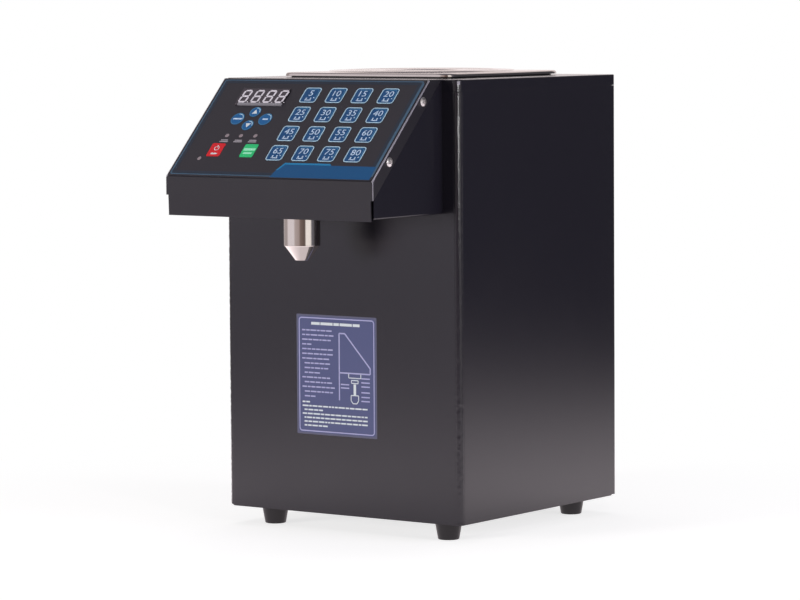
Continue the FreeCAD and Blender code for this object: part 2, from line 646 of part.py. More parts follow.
def make_pump_housing():
    """Pump body: figure-of-eight gear chamber, bearing bores, and ports on the mesh line."""
    body = new_body("pump_housing", 0, "pump_y", "pump_z")
    thick = "housing_back + housing_face"
    pad(body, draw_stadium(new_sketch(body, "YZ", "-housing_back"), 20, GEAR_OFFSET), thick)
    ground = "(pump_z - 1.5)"
    pad(body, draw_rectangle(new_sketch(body, "YZ", "-housing_back"), 0, "-(%s + 24)/2" % ground,
                             24, "%s - 24" % ground), thick)
    pad(body, draw_rectangle(new_sketch(body, "YZ", "-housing_back"), 0, "2 - %s" % ground, 54, 4),
        thick)
    # delivery port to the front, with an elbow that points up; suction port to the rear
    reach = "(pump_y - riser_y)"
    pad(body, draw_circle(new_sketch(body, "XZ", 18), 0, 0, 6.5), reach + " - 18")
    pad(body, draw_circle(new_sketch(body, "XY", -6.5), 0, "-" + reach, 6.5), 20)
    pad(body, draw_circle(new_sketch(body, "XY", 13), 0, "-" + reach, "delivery_bore - 0.1"), 18)
    pad(body, draw_circle(new_sketch(body, "XZ", -18), 0, 0, 8), 4, backwards=True)
    pad(body, draw_circle(new_sketch(body, "XZ", -21), 0, 0, "suction_bore - 0.1"), 19,
        backwards=True)
    pocket(body, draw_circle(new_sketch(body, "XZ", -41), 0, 0, 3.4), 36, backwards=True)
    pocket(body, draw_circle(new_sketch(body, "XZ", 5), 0, 0, 2.9), reach + " - 5", backwards=True)
    pocket(body, draw_circle(new_sketch(body, "XY"), 0, "-" + reach, 2.9), 32, backwards=True)
    # chamber and bearings, bored from the open face
    pocket(body, draw_eight(new_sketch(body, "YZ", "housing_face"),
                            "gear_module * (gear_teeth + 1.8)/2 + 0.2", GEAR_OFFSET),
           "gear_width + 0.3")
    for end, depth in (("-", 25), ("", "gear_width + 4.3")):
        bearing = draw_circle(new_sketch(body, "YZ", "housing_face"), 0, end + GEAR_OFFSET,
                              "shaft_r + 0.05")
        pocket(body, bearing, depth)
    holes = new_sketch(body, "YZ", "housing_face")
    for y, z in PUMP_HOLES:
        draw_circle(holes, y, z, 2.1)
    pocket(body, holes, 12)


def make_pump_cover():
    """Cover plate with the front bearings as blind bores."""
    body = new_body("pump_cover", "housing_face", "pump_y", "pump_z")
    pad(body, draw_stadium(new_sketch(body, "YZ"), 20, GEAR_OFFSET), "cover_thick")
    bearings = new_sketch(body, "YZ")
    draw_circle(bearings, 0, "-" + GEAR_OFFSET, "shaft_r + 0.05")
    draw_circle(bearings, 0, GEAR_OFFSET, "shaft_r + 0.05")
    pocket(body, bearings, 4, backwards=True)
    holes = new_sketch(body, "YZ")
    for y, z in PUMP_HOLES:
        draw_circle(holes, y, z, 2.1)
    pocket(body, holes, 10, backwards=True)


def gear_blank(turned):
    """Involute spur gear lying along X from X = 0, one tooth or (turned) one gap pointing up."""
    module, teeth, pressure = num("gear_module"), int(num("gear_teeth")), math.radians(num("gear_pressure"))
    pitch_r = module * teeth / 2
    base_r = pitch_r * math.cos(pressure)
    tip_r, root_r = pitch_r + 0.9 * module, pitch_r - 1.2 * module
    backlash = 0.12

    def half_angle(radius):
        """Half the tooth's angle at a radius, from the involute function inv(a) = tan a - a."""
        a = math.acos(min(1, base_r / radius))
        return (math.pi / 2 / teeth - backlash / 2 / pitch_r
                + math.tan(pressure) - pressure - math.tan(a) + a)

    def spot(radius, angle):
        return Vector(radius * math.cos(angle), radius * math.sin(angle), 0)
    radii = [base_r + (tip_r - base_r) * k / 4 for k in range(5)]
    edges = []
    for tooth in range(teeth):
        middle = 2 * math.pi * tooth / teeth + (math.pi / teeth if turned else 0)
        rise = [spot(r, middle - half_angle(r)) for r in radii]
        fall = [spot(r, middle + half_angle(r)) for r in reversed(radii)]
        foot_in = spot(root_r, middle - half_angle(base_r))
        foot_out = spot(root_r, middle + half_angle(base_r))
        next_in = spot(root_r, middle + 2 * math.pi / teeth - half_angle(base_r))
        flank_up, flank_down = Part.BSplineCurve(), Part.BSplineCurve()
        flank_up.interpolate(rise)
        flank_down.interpolate(fall)
        edges += [Part.LineSegment(foot_in, rise[0]).toShape(), flank_up.toShape(),
                  Part.Arc(rise[-1], spot(tip_r, middle), fall[0]).toShape(), flank_down.toShape(),
                  Part.LineSegment(fall[-1], foot_out).toShape(),
                  Part.Arc(foot_out, spot(root_r, middle + math.pi / teeth), next_in).toShape()]
    blank = Part.Face(Part.Wire(edges)).extrude(Vector(0, 0, num("gear_width")))
    blank.rotate(Vector(), Vector(0, 1, 0), 90)
    return blank


def make_gear(label, turned, side, back, front):
    """Gear on its shaft, which runs from X = back to X = front of the pump's mid plane."""
    left = num("housing_face - 0.15 - gear_width")
    blank = gear_blank(turned)
    blank.translate(Vector(left, 0, 0))
    shaft = Part.makeCylinder(num("shaft_r"), num(front) - num(back), Vector(num(back), 0, 0),
                              Vector(1, 0, 0))
    gear = doc.addObject("Part::Feature", label)
    gear.Shape = blank.fuse(shaft).removeSplitter()
    place(gear, 0, "pump_y", "pump_z %s %s" % (side, GEAR_OFFSET))
    keep(gear, label)


def make_motor():
    """Direct-current motor: flanged can, end bell and a blind bore that takes the drive shaft."""
    body = new_body("pump_motor", "-housing_back - 2", "pump_y", "pump_z - " + GEAR_OFFSET)
    bore, end = "shaft_r + 0.05", "-3 - motor_long"
    profile = draw_polygon(new_sketch(body, "XY"), [
        ("0", bore), ("0", "motor_r - 4"), ("-3", "motor_r - 4"), ("-3", "motor_r"), (end, "motor_r"),
        (end + " - 2.5", "motor_r - 3"), (end + " - 2.5", "7"), (end + " - 8", "6"), (end + " - 8", "0"),
        ("-17", "0"), ("-17", bore)])
    turn(body, profile, "H_Axis")
    tabs = new_sketch(body, "YZ", end + " - 2")
    draw_rectangle(tabs, -12, 0, 0.8, 5)
    draw_rectangle(tabs, 12, 0, 0.8, 5)
    pad(body, tabs, 9, backwards=True)


def make_motor_bracket():
    """Bent plate that carries the motor and the pump, bolted to the base plate."""
    body = new_body("motor_bracket", "-housing_back", "pump_y", 0)
    profile = draw_polygon(new_sketch(body, "XZ"), [
        ("0", "1.5"), ("0", "pump_z + 12"), ("-2", "pump_z + 12"), ("-2", "3.5"), ("-46", "3.5"),
        ("-46", "1.5")])
    pad(body, profile, 52, both_ways=True)
    soften(body, 1.5, lambda edge, p: abs(p.x) < 0.01 and abs(p.z - 1.5) < 0.01 and edge.Length > 40)
    pocket(body, draw_circle(new_sketch(body, "YZ"), 0, "pump_z - " + GEAR_OFFSET, 6), 4)
    holes = new_sketch(body, "XY", 3.5)
    for y in (-20, 20):
        draw_circle(holes, -12, y, 2.3)
        draw_circle(holes, -40, y, 2.3)
    pocket(body, holes, 4)


# ---------------------------------------------------------------- electrical pieces
def make_power_supply():
    """Enclosed switch-mode supply: folded cage with a slotted cover and a terminal strip."""
    body = new_body("power_supply", 69, 148.5, 1.5)
    pad(body, draw_rectangle(new_sketch(body, "XY"), 0, 0, 98, 129), 36)
    for x in (-30, 14):
        slot = draw_rectangle(new_sketch(body, "XY", 36), x, -48, 26, 3)
        first = pocket(body, slot, 1.2)
        repeat(body, first, "Y", 9, 80)
    pocket(body, draw_rectangle(new_sketch(body, "XZ", -65), 0, 22, 90, 30), 14, backwards=True)
    strip = draw_rectangle(new_sketch(body, "XZ", -50.5), 0, 12, 74, 10)
    pad(body, strip, 12, backwards=True)


def make_control_board():
    """Control board with relays, a regulator's heat sink, capacitors and connectors."""
    x, y, z = -115, 130, 9.5
    parts = [block(x, y, z, 85, 95, 1.6)]
    for dx in (6, 28):
        parts.append(block(x + dx, y + 60, z + 1, 19, 16, 16))
    parts.append(block(x + 56, y + 62, z + 1, 22, 5, 24))
    for k in range(4):
        parts.append(block(x + 58 + 5 * k, y + 67, z + 1, 1.6, 9, 24))
    for dx, dy, r, high in ((14, 44, 6.5, 20), (30, 44, 6.5, 20), (47, 46, 4, 12), (60, 46, 4, 12)):
        parts.append(rod(x + dx, y + dy, z + 1, r, high))
    for dx, wide in ((8, 22), (36, 12), (54, 22)):
        parts.append(block(x + dx, y + 4, z + 1, wide, 8, 11))
    parts.append(block(x + 30, y + 18, z + 1, 26, 14, 3.6))
    keep(joined(parts), "control_board")


def make_board_standoffs():
    """Four nylon pillars under the control board."""
    group("board_standoffs", [rod(x, y, 1.5, 3, 8) for x in (-110, -35) for y in (135, 220)])


# ---------------------------------------------------------------- control head
def make_head_housing():
    """Folded lower shell of the head: floor, two side plates cut to the slope, rear flanges."""
    body = new_body("head_housing")
    under = "(sheet + 0.25)"
    front, top = "(sheet + floor_inset - head_reach)", "(cab_height - %s)" % under
    profile = draw_polygon(new_sketch(body, "YZ"), [
        ("0", HEAD_FLOOR), (front, HEAD_FLOOR),
        (front, "%s + (sheet + floor_inset)*tan(face_angle) - %s/cos(face_angle)" % (LIP_TOP, under)),
        ("(%s - %s + %s/cos(face_angle))/tan(face_angle) - head_reach" % (top, LIP_TOP, under), top),
        ("0", top)])
    outer = "(head_width - 2*sheet - 0.2)"
    pad(body, profile, outer, both_ways=True)
    low, half = num(HEAD_FLOOR), num(outer) / 2
    soften(body, 1.6, lambda edge, p: abs(p.z - low) < 0.01 and abs(abs(p.x) - half) < 0.01)
    hollow = draw_polygon(new_sketch(body, "YZ"), [
        ("-sheet", HEAD_FLOOR + " + sheet"), ("-head_reach - 5", HEAD_FLOOR + " + sheet"),
        ("-head_reach - 5", "cab_height + 5"), ("-sheet", "cab_height + 5")])
    pocket(body, hollow, outer + " - 2*sheet", both_ways=True)
    window = draw_rectangle(new_sketch(body, "XZ"), 0, "(%s + cab_height)/2" % HEAD_FLOOR,
                            "head_width - 46", "cab_height - %s - 26" % HEAD_FLOOR)
    pocket(body, window, 4, backwards=True)
    bolts = new_sketch(body, "XZ")
    for x, z in HEAD_BOLTS:
        draw_circle(bolts, x, z, 2.1)
    pocket(body, bolts, 4, backwards=True)
    pocket(body, draw_circle(new_sketch(body, "XY", HEAD_FLOOR), 0, "-nozzle_y", 12), 4, backwards=True)
    side = new_sketch(body, "YZ", "-head_width/2")
    for y, z in SIDE_SCREWS:
        draw_circle(side, y, z, 2.1)
    pocket(body, side, "head_width", backwards=True)


# along the slope and a little in from it, in the cabinet's frame
SIDE_SCREWS = [("%s*cos(face_angle) + screw_in*sin(face_angle) - head_reach" % along,
                "%s + %s*sin(face_angle) - screw_in*cos(face_angle)" % (LIP_TOP, along))
               for along in ("screw_low", "screw_high")]

# centre, width, height and corner radius of each key on the sloping face; round keys give a radius
NUMBER_KEYS = {"key_%d" % (5 * (4 * row + column + 1)):
               ("key_first_x + %d*key_pitch_x" % column, "key_first_y + %d*key_pitch_y" % (3 - row))
               for row in range(4) for column in range(4)}
ROUND_KEYS = {"key_up": (-53, 75.6, 5.7), "key_down": (-53, 60.1, 5.7),
              "key_left": (-67.8, 67.3, 6.7), "key_right": (-37.8, 67.3, 6.7)}
SQUARE_KEYS = {"key_stop": (-71.3, 31, 14.2, 15), "key_start": (-35.6, 30.8, 14.2, 15)}
FIRST_IN_ROW = ["key_%d" % (20 * row + 5) for row in range(4)]
LAMPS = [(-68.3, 47.7), (-53.4, 47.7), (-37.9, 47.9), (-83.7, 20.8)]
OTHER_SPOTS = [key[:2] for key in list(ROUND_KEYS.values()) + list(SQUARE_KEYS.values())]


def on_lip(down, inwards):
    """A point of the lip in the face's frame: down it from the bend, and inwards from its outside."""
    return ("%s*cos(face_angle) - %s*sin(face_angle)" % (inwards, down),
            "-%s*cos(face_angle) - %s*sin(face_angle)" % (down, inwards))


def make_head_cover():
    """Folded face of the head: lip, sloping face with its cut-outs, top strip, side flanges."""
    body = new_body("head_cover", frame="face")
    s, c = "sin(face_angle)", "cos(face_angle)"
    top_reach = "(head_reach - face_run)"
    strip_end = ("%s + %s*%s" % (FACE_LENGTH, top_reach, c), "-%s*%s" % (top_reach, s))
    # the lip hangs straight down from the bend, and below the notches it is tucked in a little
    profile = draw_polygon(new_sketch(body, "YZ"), [
        on_lip("lip_drop", "lip_tuck"), on_lip("notch_top", "0"), ("0", "0"), (FACE_LENGTH, "0"),
        strip_end,
        ("%s - sheet*%s" % (strip_end[0], s), "%s - sheet*%s" % (strip_end[1], c)),
        ("%s - sheet*tan(face_angle/2)" % FACE_LENGTH, "-sheet"),
        ("sheet*tan(45 - face_angle/2)", "-sheet"), on_lip("notch_top", "sheet"),
        on_lip("lip_drop", "(lip_tuck + sheet)")])
    pad(body, profile, "head_width", both_ways=True)
    length = num(FACE_LENGTH)
    soften(body, 1.6, lambda edge, p: abs(p.z) < 0.01 and edge.Length > 100
           and (abs(p.y) < 0.01 or abs(p.y - length) < 0.01))
    for lift in ("-head_width/2", "head_width/2 - sheet"):
        flange = draw_polygon(new_sketch(body, "YZ", lift), [
            ("0.3", "-0.3"), (FACE_LENGTH + " - 0.3", "-0.3"),
            (FACE_LENGTH + " + strip/tan(face_angle)", "-strip"),
            ("-strip*tan(face_angle)", "-strip")])
        pad(body, flange, "sheet")
    # below the notches the lip is narrower than the face
    for side, backwards in (("-", False), ("", True)):
        notch = new_sketch(body, "YZ", "%s(head_width/2 - notch_in)" % side)
        draw_polygon(notch, [on_lip("notch_top", -1), on_lip("notch_top", 5),
                             on_lip("(lip_drop + 1)", 5), on_lip("(lip_drop + 1)", -1)])
        pocket(body, notch, 5, backwards=backwards)
    side = new_sketch(body, "YZ", "-head_width/2 - 1")
    for along in ("screw_low", "screw_high"):
        draw_circle(side, along, "-screw_in", 2.1)
    pocket(body, side, "head_width + 2", backwards=True)
    for name in FIRST_IN_ROW:
        hole = pocket(body, draw_rectangle(new_sketch(body, "XY"), *NUMBER_KEYS[name], 8, 8), 3)
        repeat(body, hole, "X", 4, "3*key_pitch_x")
    cuts = new_sketch(body, "XY")
    for x, y in OTHER_SPOTS:
        draw_rectangle(cuts, x, y, 8, 8)
    for x, y in LAMPS:
        draw_circle(cuts, x, y, 2)
    draw_rectangle(cuts, "display_x", "display_y", "display_w + 1", "display_high + 1")
    pocket(body, cuts, 3)


def draw_key(sketch, name, grow=0):
    """Outline of one key, grown all round by the gap."""
    if name in NUMBER_KEYS:
        x, y = NUMBER_KEYS[name]
        draw_rounded(sketch, x, y, "key_size + 2*%s" % grow, "key_size + 2*%s" % grow,
                     "key_round + %s" % grow)
    elif name in ROUND_KEYS:
        x, y, radius = ROUND_KEYS[name]
        draw_circle(sketch, x, y, "%s + %s" % (radius, grow))
    else:
        x, y, wide, high = SQUARE_KEYS[name]
        draw_rounded(sketch, x, y, "%s + 2*%s" % (wide, grow), "%s + 2*%s" % (high, grow),
                     "1.6 + %s" % grow)
    return sketch


ALL_KEYS = list(NUMBER_KEYS) + list(ROUND_KEYS) + list(SQUARE_KEYS)
KEY_SPOTS = dict(zip(ALL_KEYS, list(NUMBER_KEYS.values()) + OTHER_SPOTS))


def make_keypad_film():
    """Printed film on its spacer, with a window for each key's island and one for the display."""
    body = new_body("keypad_film", frame="face")
    sheet_outline = new_sketch(body, "XY")
    draw_rounded(sheet_outline, 0, FACE_LENGTH + "/2", "film_w", FACE_LENGTH + " - 2*film_margin", 2)
    draw_rectangle(sheet_outline, "display_x", "display_y", "display_w + 0.6", "display_high + 0.6")
    pad(body, sheet_outline, "film_thick")
    for name in FIRST_IN_ROW:
        window = pocket(body, draw_key(new_sketch(body, "XY"), name, "key_gap"), 3, backwards=True)
        repeat(body, window, "X", 4, "3*key_pitch_x")
    others = new_sketch(body, "XY")
    for name in list(ROUND_KEYS) + list(SQUARE_KEYS):
        draw_key(others, name, "key_gap")
    pocket(body, others, 3, backwards=True)


def make_keys():
    """Each key: an island of film on the square plunger of its switch."""
    for name in ALL_KEYS:
        body = new_body(name, frame="face")
        pad(body, draw_key(new_sketch(body, "XY", "film_thick - key_thick"), name), "key_thick + 0.1")
        x, y = KEY_SPOTS[name]
        pad(body, draw_rectangle(new_sketch(body, "XY", "1.6 - board_drop"), x, y, "stem", "stem"),
            "board_drop - 1.6 + film_thick - key_thick")


def make_keypad_board():
    """Circuit board behind the face: a switch under each key, four lamps, corner pillars."""
    body = new_body("keypad_board", frame="face")
    pad(body, draw_rectangle(new_sketch(body, "XY", "-board_drop - 1.6"), 0, FACE_LENGTH + "/2",
                             188, 100), 1.6)

    def draw_switch(sketch, x, y):
        draw_rectangle(sketch, x, y, 6.2, 6.2)
        return draw_rectangle(sketch, x, y, "stem + 0.6", "stem + 0.6")
    for name in FIRST_IN_ROW:
        switch = pad(body, draw_switch(new_sketch(body, "XY", "-board_drop"), *NUMBER_KEYS[name]), 3.4)
        repeat(body, switch, "X", 4, "3*key_pitch_x")
    switches = new_sketch(body, "XY", "-board_drop")
    for x, y in OTHER_SPOTS:
        draw_switch(switches, x, y)
    pad(body, switches, 3.4)
    lamps = new_sketch(body, "XY", "-board_drop")
    for x, y in LAMPS:
        draw_circle(lamps, x, y, 1.5)
    pad(body, lamps, "board_drop - 1.4")
    pillars = new_sketch(body, "XY", "-board_drop")
    for x in (-90, 90):
        for y in ("12", FACE_LENGTH + " - 12"):
            draw_rectangle(pillars, x, y, 5, 5)
    pad(body, pillars, "board_drop - sheet")


def make_display():
    """Four-digit seven-segment module, its face a little above the film."""
    body = new_body("display_module", frame="face")
    pad(body, draw_rectangle(new_sketch(body, "XY", "-board_drop"), "display_x", "display_y",
                             "display_w", "display_high"), "board_drop + film_thick + display_lift")
    pins = new_sketch(body, "XY", "-board_drop")
    for k in range(6):
        for side in ("-", "+"):
            draw_rectangle(pins, "display_x + %.2f" % (2.54 * k - 6.35),
                           "display_y %s 7.62" % side, 0.6, 0.6)
    pad(body, pins, 3.5, backwards=True)


# ---------------------------------------------------------------- nozzle and its valve
def at_nozzle(label):
    return new_body(label, 0, "-nozzle_y", HEAD_FLOOR)


def make_nozzle_holder():
    """Barb, flange and threaded spigot in one turned piece, with a conical seat inside."""
    body = at_nozzle("nozzle_holder")
    profile = draw_polygon(new_sketch(body, "XZ"), [
        ("2.9", "27"), ("delivery_bore - 0.1", "27"), ("delivery_bore - 0.1", "9.2"), ("8", "9.2"),
        ("8", "5.2"), ("16", "5.2"), ("16", "sheet"), ("11.7", "sheet"), ("11.7", "-22"),
        ("6.5", "-22"), ("6.5", "-5.6"), ("2.9", "-2")])
    turn(body, profile)


def make_nozzle():
    """Polished shell that screws onto the spigot: cylinder, cone and a round outlet."""
    body = at_nozzle("nozzle")
    base, tip = "-nozzle_long", "-nozzle_long - nozzle_cone"
    profile = draw_polygon(new_sketch(body, "XZ"), [
        ("12", "-0.3"), ("nozzle_r - 0.6", "-0.3"), ("nozzle_r", "-0.9"), ("nozzle_r", base),
        ("nozzle_tip_r", tip), ("3", tip), ("3", tip + " + 3"), ("10", "%s + 2" % base),
        ("12", "%s + 3.4" % base)])
    turn(body, profile)
    low, r = num(base), num("nozzle_r")
    soften(body, 0.8, lambda edge, p: abs(p.z - low) < 0.01 and abs(math.hypot(p.x, p.y) - r) < 0.01)


def make_valve():
    """Ball pressed up against the seat by a coil spring that stands on a pierced retainer."""
    ball = doc.addObject("Part::Sphere", "valve_ball")
    place(ball, 0, "-nozzle_y", HEAD_FLOOR + " + 0.9 - (ball_r + 0.05)/sin(45)")
    bind(ball, "Radius", "ball_r")
    keep(ball, "valve_ball")
    retainer = at_nozzle("valve_retainer")
    ring = new_sketch(retainer, "XY", -21.8)
    draw_circle(ring, 0, 0, 6.45)
    draw_circle(ring, 0, 0, 2.6)
    pad(retainer, ring, 2.4)
    high, turns, wire, coil_r, flats = 10.2, 4.5, 0.42, 3.8, 8
    helix = Part.makeHelix(high / turns, high, coil_r)
    corners = [Vector(coil_r + wire * math.cos(2 * math.pi * k / flats), 0,
                      wire * math.sin(2 * math.pi * k / flats)) for k in range(flats)]
    section = Part.makePolygon(corners + corners[:1])
    spring = doc.addObject("Part::Feature", "valve_spring")
    spring.Shape = Part.Wire(helix).makePipeShell([section], True, True)
    place(spring, 0, "-nozzle_y", HEAD_FLOOR + " - 18.95")
    keep(spring, "valve_spring")


# ---------------------------------------------------------------- the whole machine
make_casing()
make_top_cover()
make_base_plate()
make_back_panel()
make_feet()
pan_screw = make_pan_screw(10)
place_cabinet_screws(pan_screw)
make_power_inlet()
make_power_rocker()
make_tank()
make_tank_seal()
make_lid()
make_tank_outlet()
make_outlet_nut()
make_hoses()
make_hose_clamps()
make_pump_housing()
make_pump_cover()
group("pump_screws", [copy_of(pan_screw, "housing_face + cover_thick", "pump_y + (%s)" % y,
                              "pump_z + (%s)" % z, (1, 0, 0)) for y, z in PUMP_HOLES])
make_gear("drive_gear", False, "-", "-housing_back - 16", "housing_face + 3.8")
make_gear("driven_gear", True, "+", "housing_face - gear_width - 4.1", "housing_face + 3.8")
make_motor()
make_motor_bracket()
make_power_supply()
make_control_board()
make_board_standoffs()
make_head_housing()
make_head_cover()
group("head_screws", [copy_of(pan_screw, "%s*head_width/2" % side, y, z, (side, 0, 0))
                      for side in (-1, 1) for y, z in SIDE_SCREWS])
make_keypad_film()
make_keypad_board()
make_display()
make_keys()
make_nozzle_holder()
make_nozzle()
make_valve()
doc.recompute()

# ---------------------------------------------------------------- test and export
for thing in doc.Objects:
    if "Invalid" in thing.State or "Error" in thing.State:
        raise RuntimeError("%s is %s" % (thing.Label, thing.State))
labels = [piece.Label for piece in pieces]
if len(set(labels)) != len(labels):
    raise RuntimeError("two pieces share a label")
os.makedirs("parts", exist_ok=True)
total = FreeCAD.BoundBox()
for piece in pieces:
    shape = piece.Shape
    if shape.isNull() or not shape.isValid() or not shape.Solids:
        raise RuntimeError(piece.Label + " has no valid solid")
    shape.exportStep("parts/%s.step" % piece.Label)
    total.add(shape.BoundBox)
    print("%-16s %2d solid(s) %10.1f mm3" % (piece.Label, len(shape.Solids), shape.Volume))
print("%d sub-parts, %.1f x %.1f x %.1f mm, from %.2f to %.2f in Y" % (
    len(pieces), total.XLength, total.YLength, total.ZLength, total.YMin, total.YMax))
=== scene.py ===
# %% [markdown]
# # A syrup dispenser for the drinks counter
#
# The real machine is a box of folded steel sheet with a black powder coat. A sloping head
# carries a film keypad, a small steel nozzle hangs under the head, and a pressed stainless
# lid closes the tank on top. Its solids come as a fixed frame, one mesh for each part, and
# this lesson gives them their finishes and adds what solids are poor at: thin prints, smooth
# pressings, screw heads, light.

# %% Load the frame
import json
import math
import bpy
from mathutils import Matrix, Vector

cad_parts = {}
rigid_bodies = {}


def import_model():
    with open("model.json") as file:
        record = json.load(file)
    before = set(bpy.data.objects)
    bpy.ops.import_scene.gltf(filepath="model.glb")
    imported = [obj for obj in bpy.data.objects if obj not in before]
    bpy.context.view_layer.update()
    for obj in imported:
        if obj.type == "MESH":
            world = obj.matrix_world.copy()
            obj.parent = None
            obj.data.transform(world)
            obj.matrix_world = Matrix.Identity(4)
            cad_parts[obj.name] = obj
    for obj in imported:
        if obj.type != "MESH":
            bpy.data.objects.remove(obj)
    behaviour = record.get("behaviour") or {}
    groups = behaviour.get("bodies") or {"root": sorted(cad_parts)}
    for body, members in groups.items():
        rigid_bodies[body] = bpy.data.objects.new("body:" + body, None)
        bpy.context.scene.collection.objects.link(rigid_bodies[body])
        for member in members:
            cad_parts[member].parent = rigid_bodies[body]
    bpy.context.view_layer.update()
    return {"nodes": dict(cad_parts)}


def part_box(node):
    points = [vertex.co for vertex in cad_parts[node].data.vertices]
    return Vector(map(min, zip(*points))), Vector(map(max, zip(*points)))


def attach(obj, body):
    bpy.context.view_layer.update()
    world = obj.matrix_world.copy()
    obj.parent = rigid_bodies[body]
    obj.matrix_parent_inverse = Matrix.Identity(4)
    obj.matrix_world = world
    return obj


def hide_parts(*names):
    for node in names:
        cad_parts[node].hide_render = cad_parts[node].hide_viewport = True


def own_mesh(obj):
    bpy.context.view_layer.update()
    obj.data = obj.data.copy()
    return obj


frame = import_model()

from types import SimpleNamespace

import bmesh
import bpy
import numpy as np
from mathutils import Matrix, Vector

MM = 0.001
for leftover in [o for o in bpy.data.objects if o.name in ("Cube", "Light", "Camera")]:
    bpy.data.objects.remove(leftover)

# %% [markdown]
# ## The camera
#
# The machine is looked at from its front right, a little from above, from more than three
# metres away, as a long lens would do it. A camera can be turned with Euler angles, but
# then the order of the turns is easily mixed up. Here its three axes are worked out as
# vectors and put into a matrix, which says the same thing without any doubt.

# %% Camera from its three axes
EYE = np.array([1.91529, -2.63384, 0.45785])
YAW, PITCH, ROLL = np.radians([35.438, 4.188, -0.341])
LENS, SENSOR, SHIFT = 167.793, 36.0, (-0.0353, -0.0309)


def camera_axes(yaw, pitch, roll):
    """Forward turns by yaw round the vertical and dips by pitch; right is level; up is right x
    forward. Right and up are then turned by roll in their own plane."""
    forward = np.array([-math.sin(yaw) * math.cos(pitch), math.cos(yaw) * math.cos(pitch),
                        -math.sin(pitch)])
    level = np.array([math.cos(yaw), math.sin(yaw), 0.0])
    above = np.cross(level, forward)
    right = math.cos(roll) * level + math.sin(roll) * above
    up = -math.sin(roll) * level + math.cos(roll) * above
    return right, up, forward


def new_object(name, data):
    """An object that holds the data, linked to the scene and still at the origin."""
    obj = bpy.data.objects.new(name, data)
    bpy.context.scene.collection.objects.link(obj)
    return obj


right, up, forward = camera_axes(YAW, PITCH, ROLL)
camera = new_object("camera", bpy.data.cameras.new("camera"))
matrix = np.eye(4)
matrix[:3] = np.column_stack([right, up, -forward, EYE])
camera.matrix_world = Matrix(matrix.tolist())
camera.data.lens, camera.data.sensor_width = LENS, SENSOR
camera.data.shift_x, camera.data.shift_y = SHIFT
camera.data.clip_end = 100
bpy.context.scene.camera = camera
bpy.context.scene.view_settings.view_transform = "Standard"
print("camera looks along", forward.round(3))

# %% [markdown]
# ## Colours and nodes
#
# Paint colours are written as sRGB hex, as a colour card gives them, and the renderer wants
# linear light, so one function turns one into the other. A second one adds a shader node
# with its settings and its links in one line, which keeps every finish below readable.

# %% Two helpers for every finish
WHITE = (1, 1, 1, 1)


def linear(code):
    """sRGB to linear: c / 12.92 up to 0.04045, and ((c + 0.055) / 1.055) ** 2.4 above it."""
    c = np.array([int(code[k:k + 2], 16) for k in (1, 3, 5)]) / 255
    c = np.where(c <= 0.04045, c / 12.92, ((c + 0.055) / 1.055) ** 2.4)
    return (*c.tolist(), 1.0)


def add(tree, kind, inputs=None, **settings):
    """Add one node: settings are its own, inputs hold plain values, or sockets to link from, and a
    node given there stands for its first output."""
    node = tree.nodes.new("ShaderNode" + kind)
    for key, value in settings.items():
        setattr(node, key, value)
    for key, value in (inputs or {}).items():
        value = value.outputs[0] if isinstance(value, bpy.types.Node) else value
        if isinstance(value, bpy.types.NodeSocket):
            tree.links.new(value, node.inputs[key])
        else:
            node.inputs[key].default_value = value
    return node


def per_mm(size):
    """A pattern whose features measure `size` millimetres repeats 1000 / size times in a metre."""
    return 1000 / size


print("mid grey", linear("#808080")[:3])

# %% [markdown]
# ## One grainy finish for many materials
#
# Powder coat, moulded plastic, rubber and blasted metal all show the same thing at different
# sizes: a fine unevenness that breaks the shine, and slow patches of slightly different
# gloss. One function can describe them all: a fine noise lifts the surface, a coarse noise
# moves the roughness up and down. Only the numbers differ from one material to the next. A
# moulded or velvet texture is really finer than half a millimetre and wouldn't show from three
# metres away, so no grain here is drawn finer than 0.7 mm.

# %% A finish with grain
def finish(name, colour, rough, grain, height, patch, swing=0.04, shade=0.12, ior=1.5, metal=0.0):
    """Noise of `grain` mm lifts the surface by `height` mm; noise of `patch` mm shifts roughness
    by `swing` and darkens the colour by up to `shade`."""
    mat = bpy.data.materials.new(name)
    mat.use_nodes = True
    tree = mat.node_tree
    place = add(tree, "TexCoord").outputs["Object"]
    fine = add(tree, "TexNoise", {"Vector": place, "Scale": per_mm(grain), "Detail": 3.0,
                                  "Roughness": 0.6})
    slow = add(tree, "TexNoise", {"Vector": place, "Scale": per_mm(patch), "Detail": 4.0})
    bump = add(tree, "Bump", {"Height": fine.outputs["Fac"], "Strength": 1.0,
                              "Distance": height * MM})
    gloss = add(tree, "MapRange", {"Value": slow.outputs["Fac"], "From Min": 0.3, "From Max": 0.7,
                                   "To Min": rough - swing, "To Max": rough + swing})
    base = linear(colour)
    dark = (*[c * (1 - shade) for c in base[:3]], 1.0)
    tint = add(tree, "Mix", {"Factor": slow.outputs["Fac"], 6: base, 7: dark}, data_type="RGBA")
    sockets = tree.nodes["Principled BSDF"].inputs
    tree.links.new(tint.outputs[2], sockets["Base Color"])
    tree.links.new(gloss.outputs[0], sockets["Roughness"])
    tree.links.new(bump.outputs[0], sockets["Normal"])
    sockets["Metallic"].default_value = metal
    if not metal:
        sockets["IOR"].default_value = ior
    return mat


def dress(slot, mat):
    """Give the material to every solid whose record slot has that name, and hand it back."""
    places = [place for node in frame["nodes"].values() for place in node.material_slots
              if place.material and place.material.name.split(".")[0] == slot]
    for place in places:
        place.material = mat
    print(mat.name, "on", len(places), "solids")
    return mat


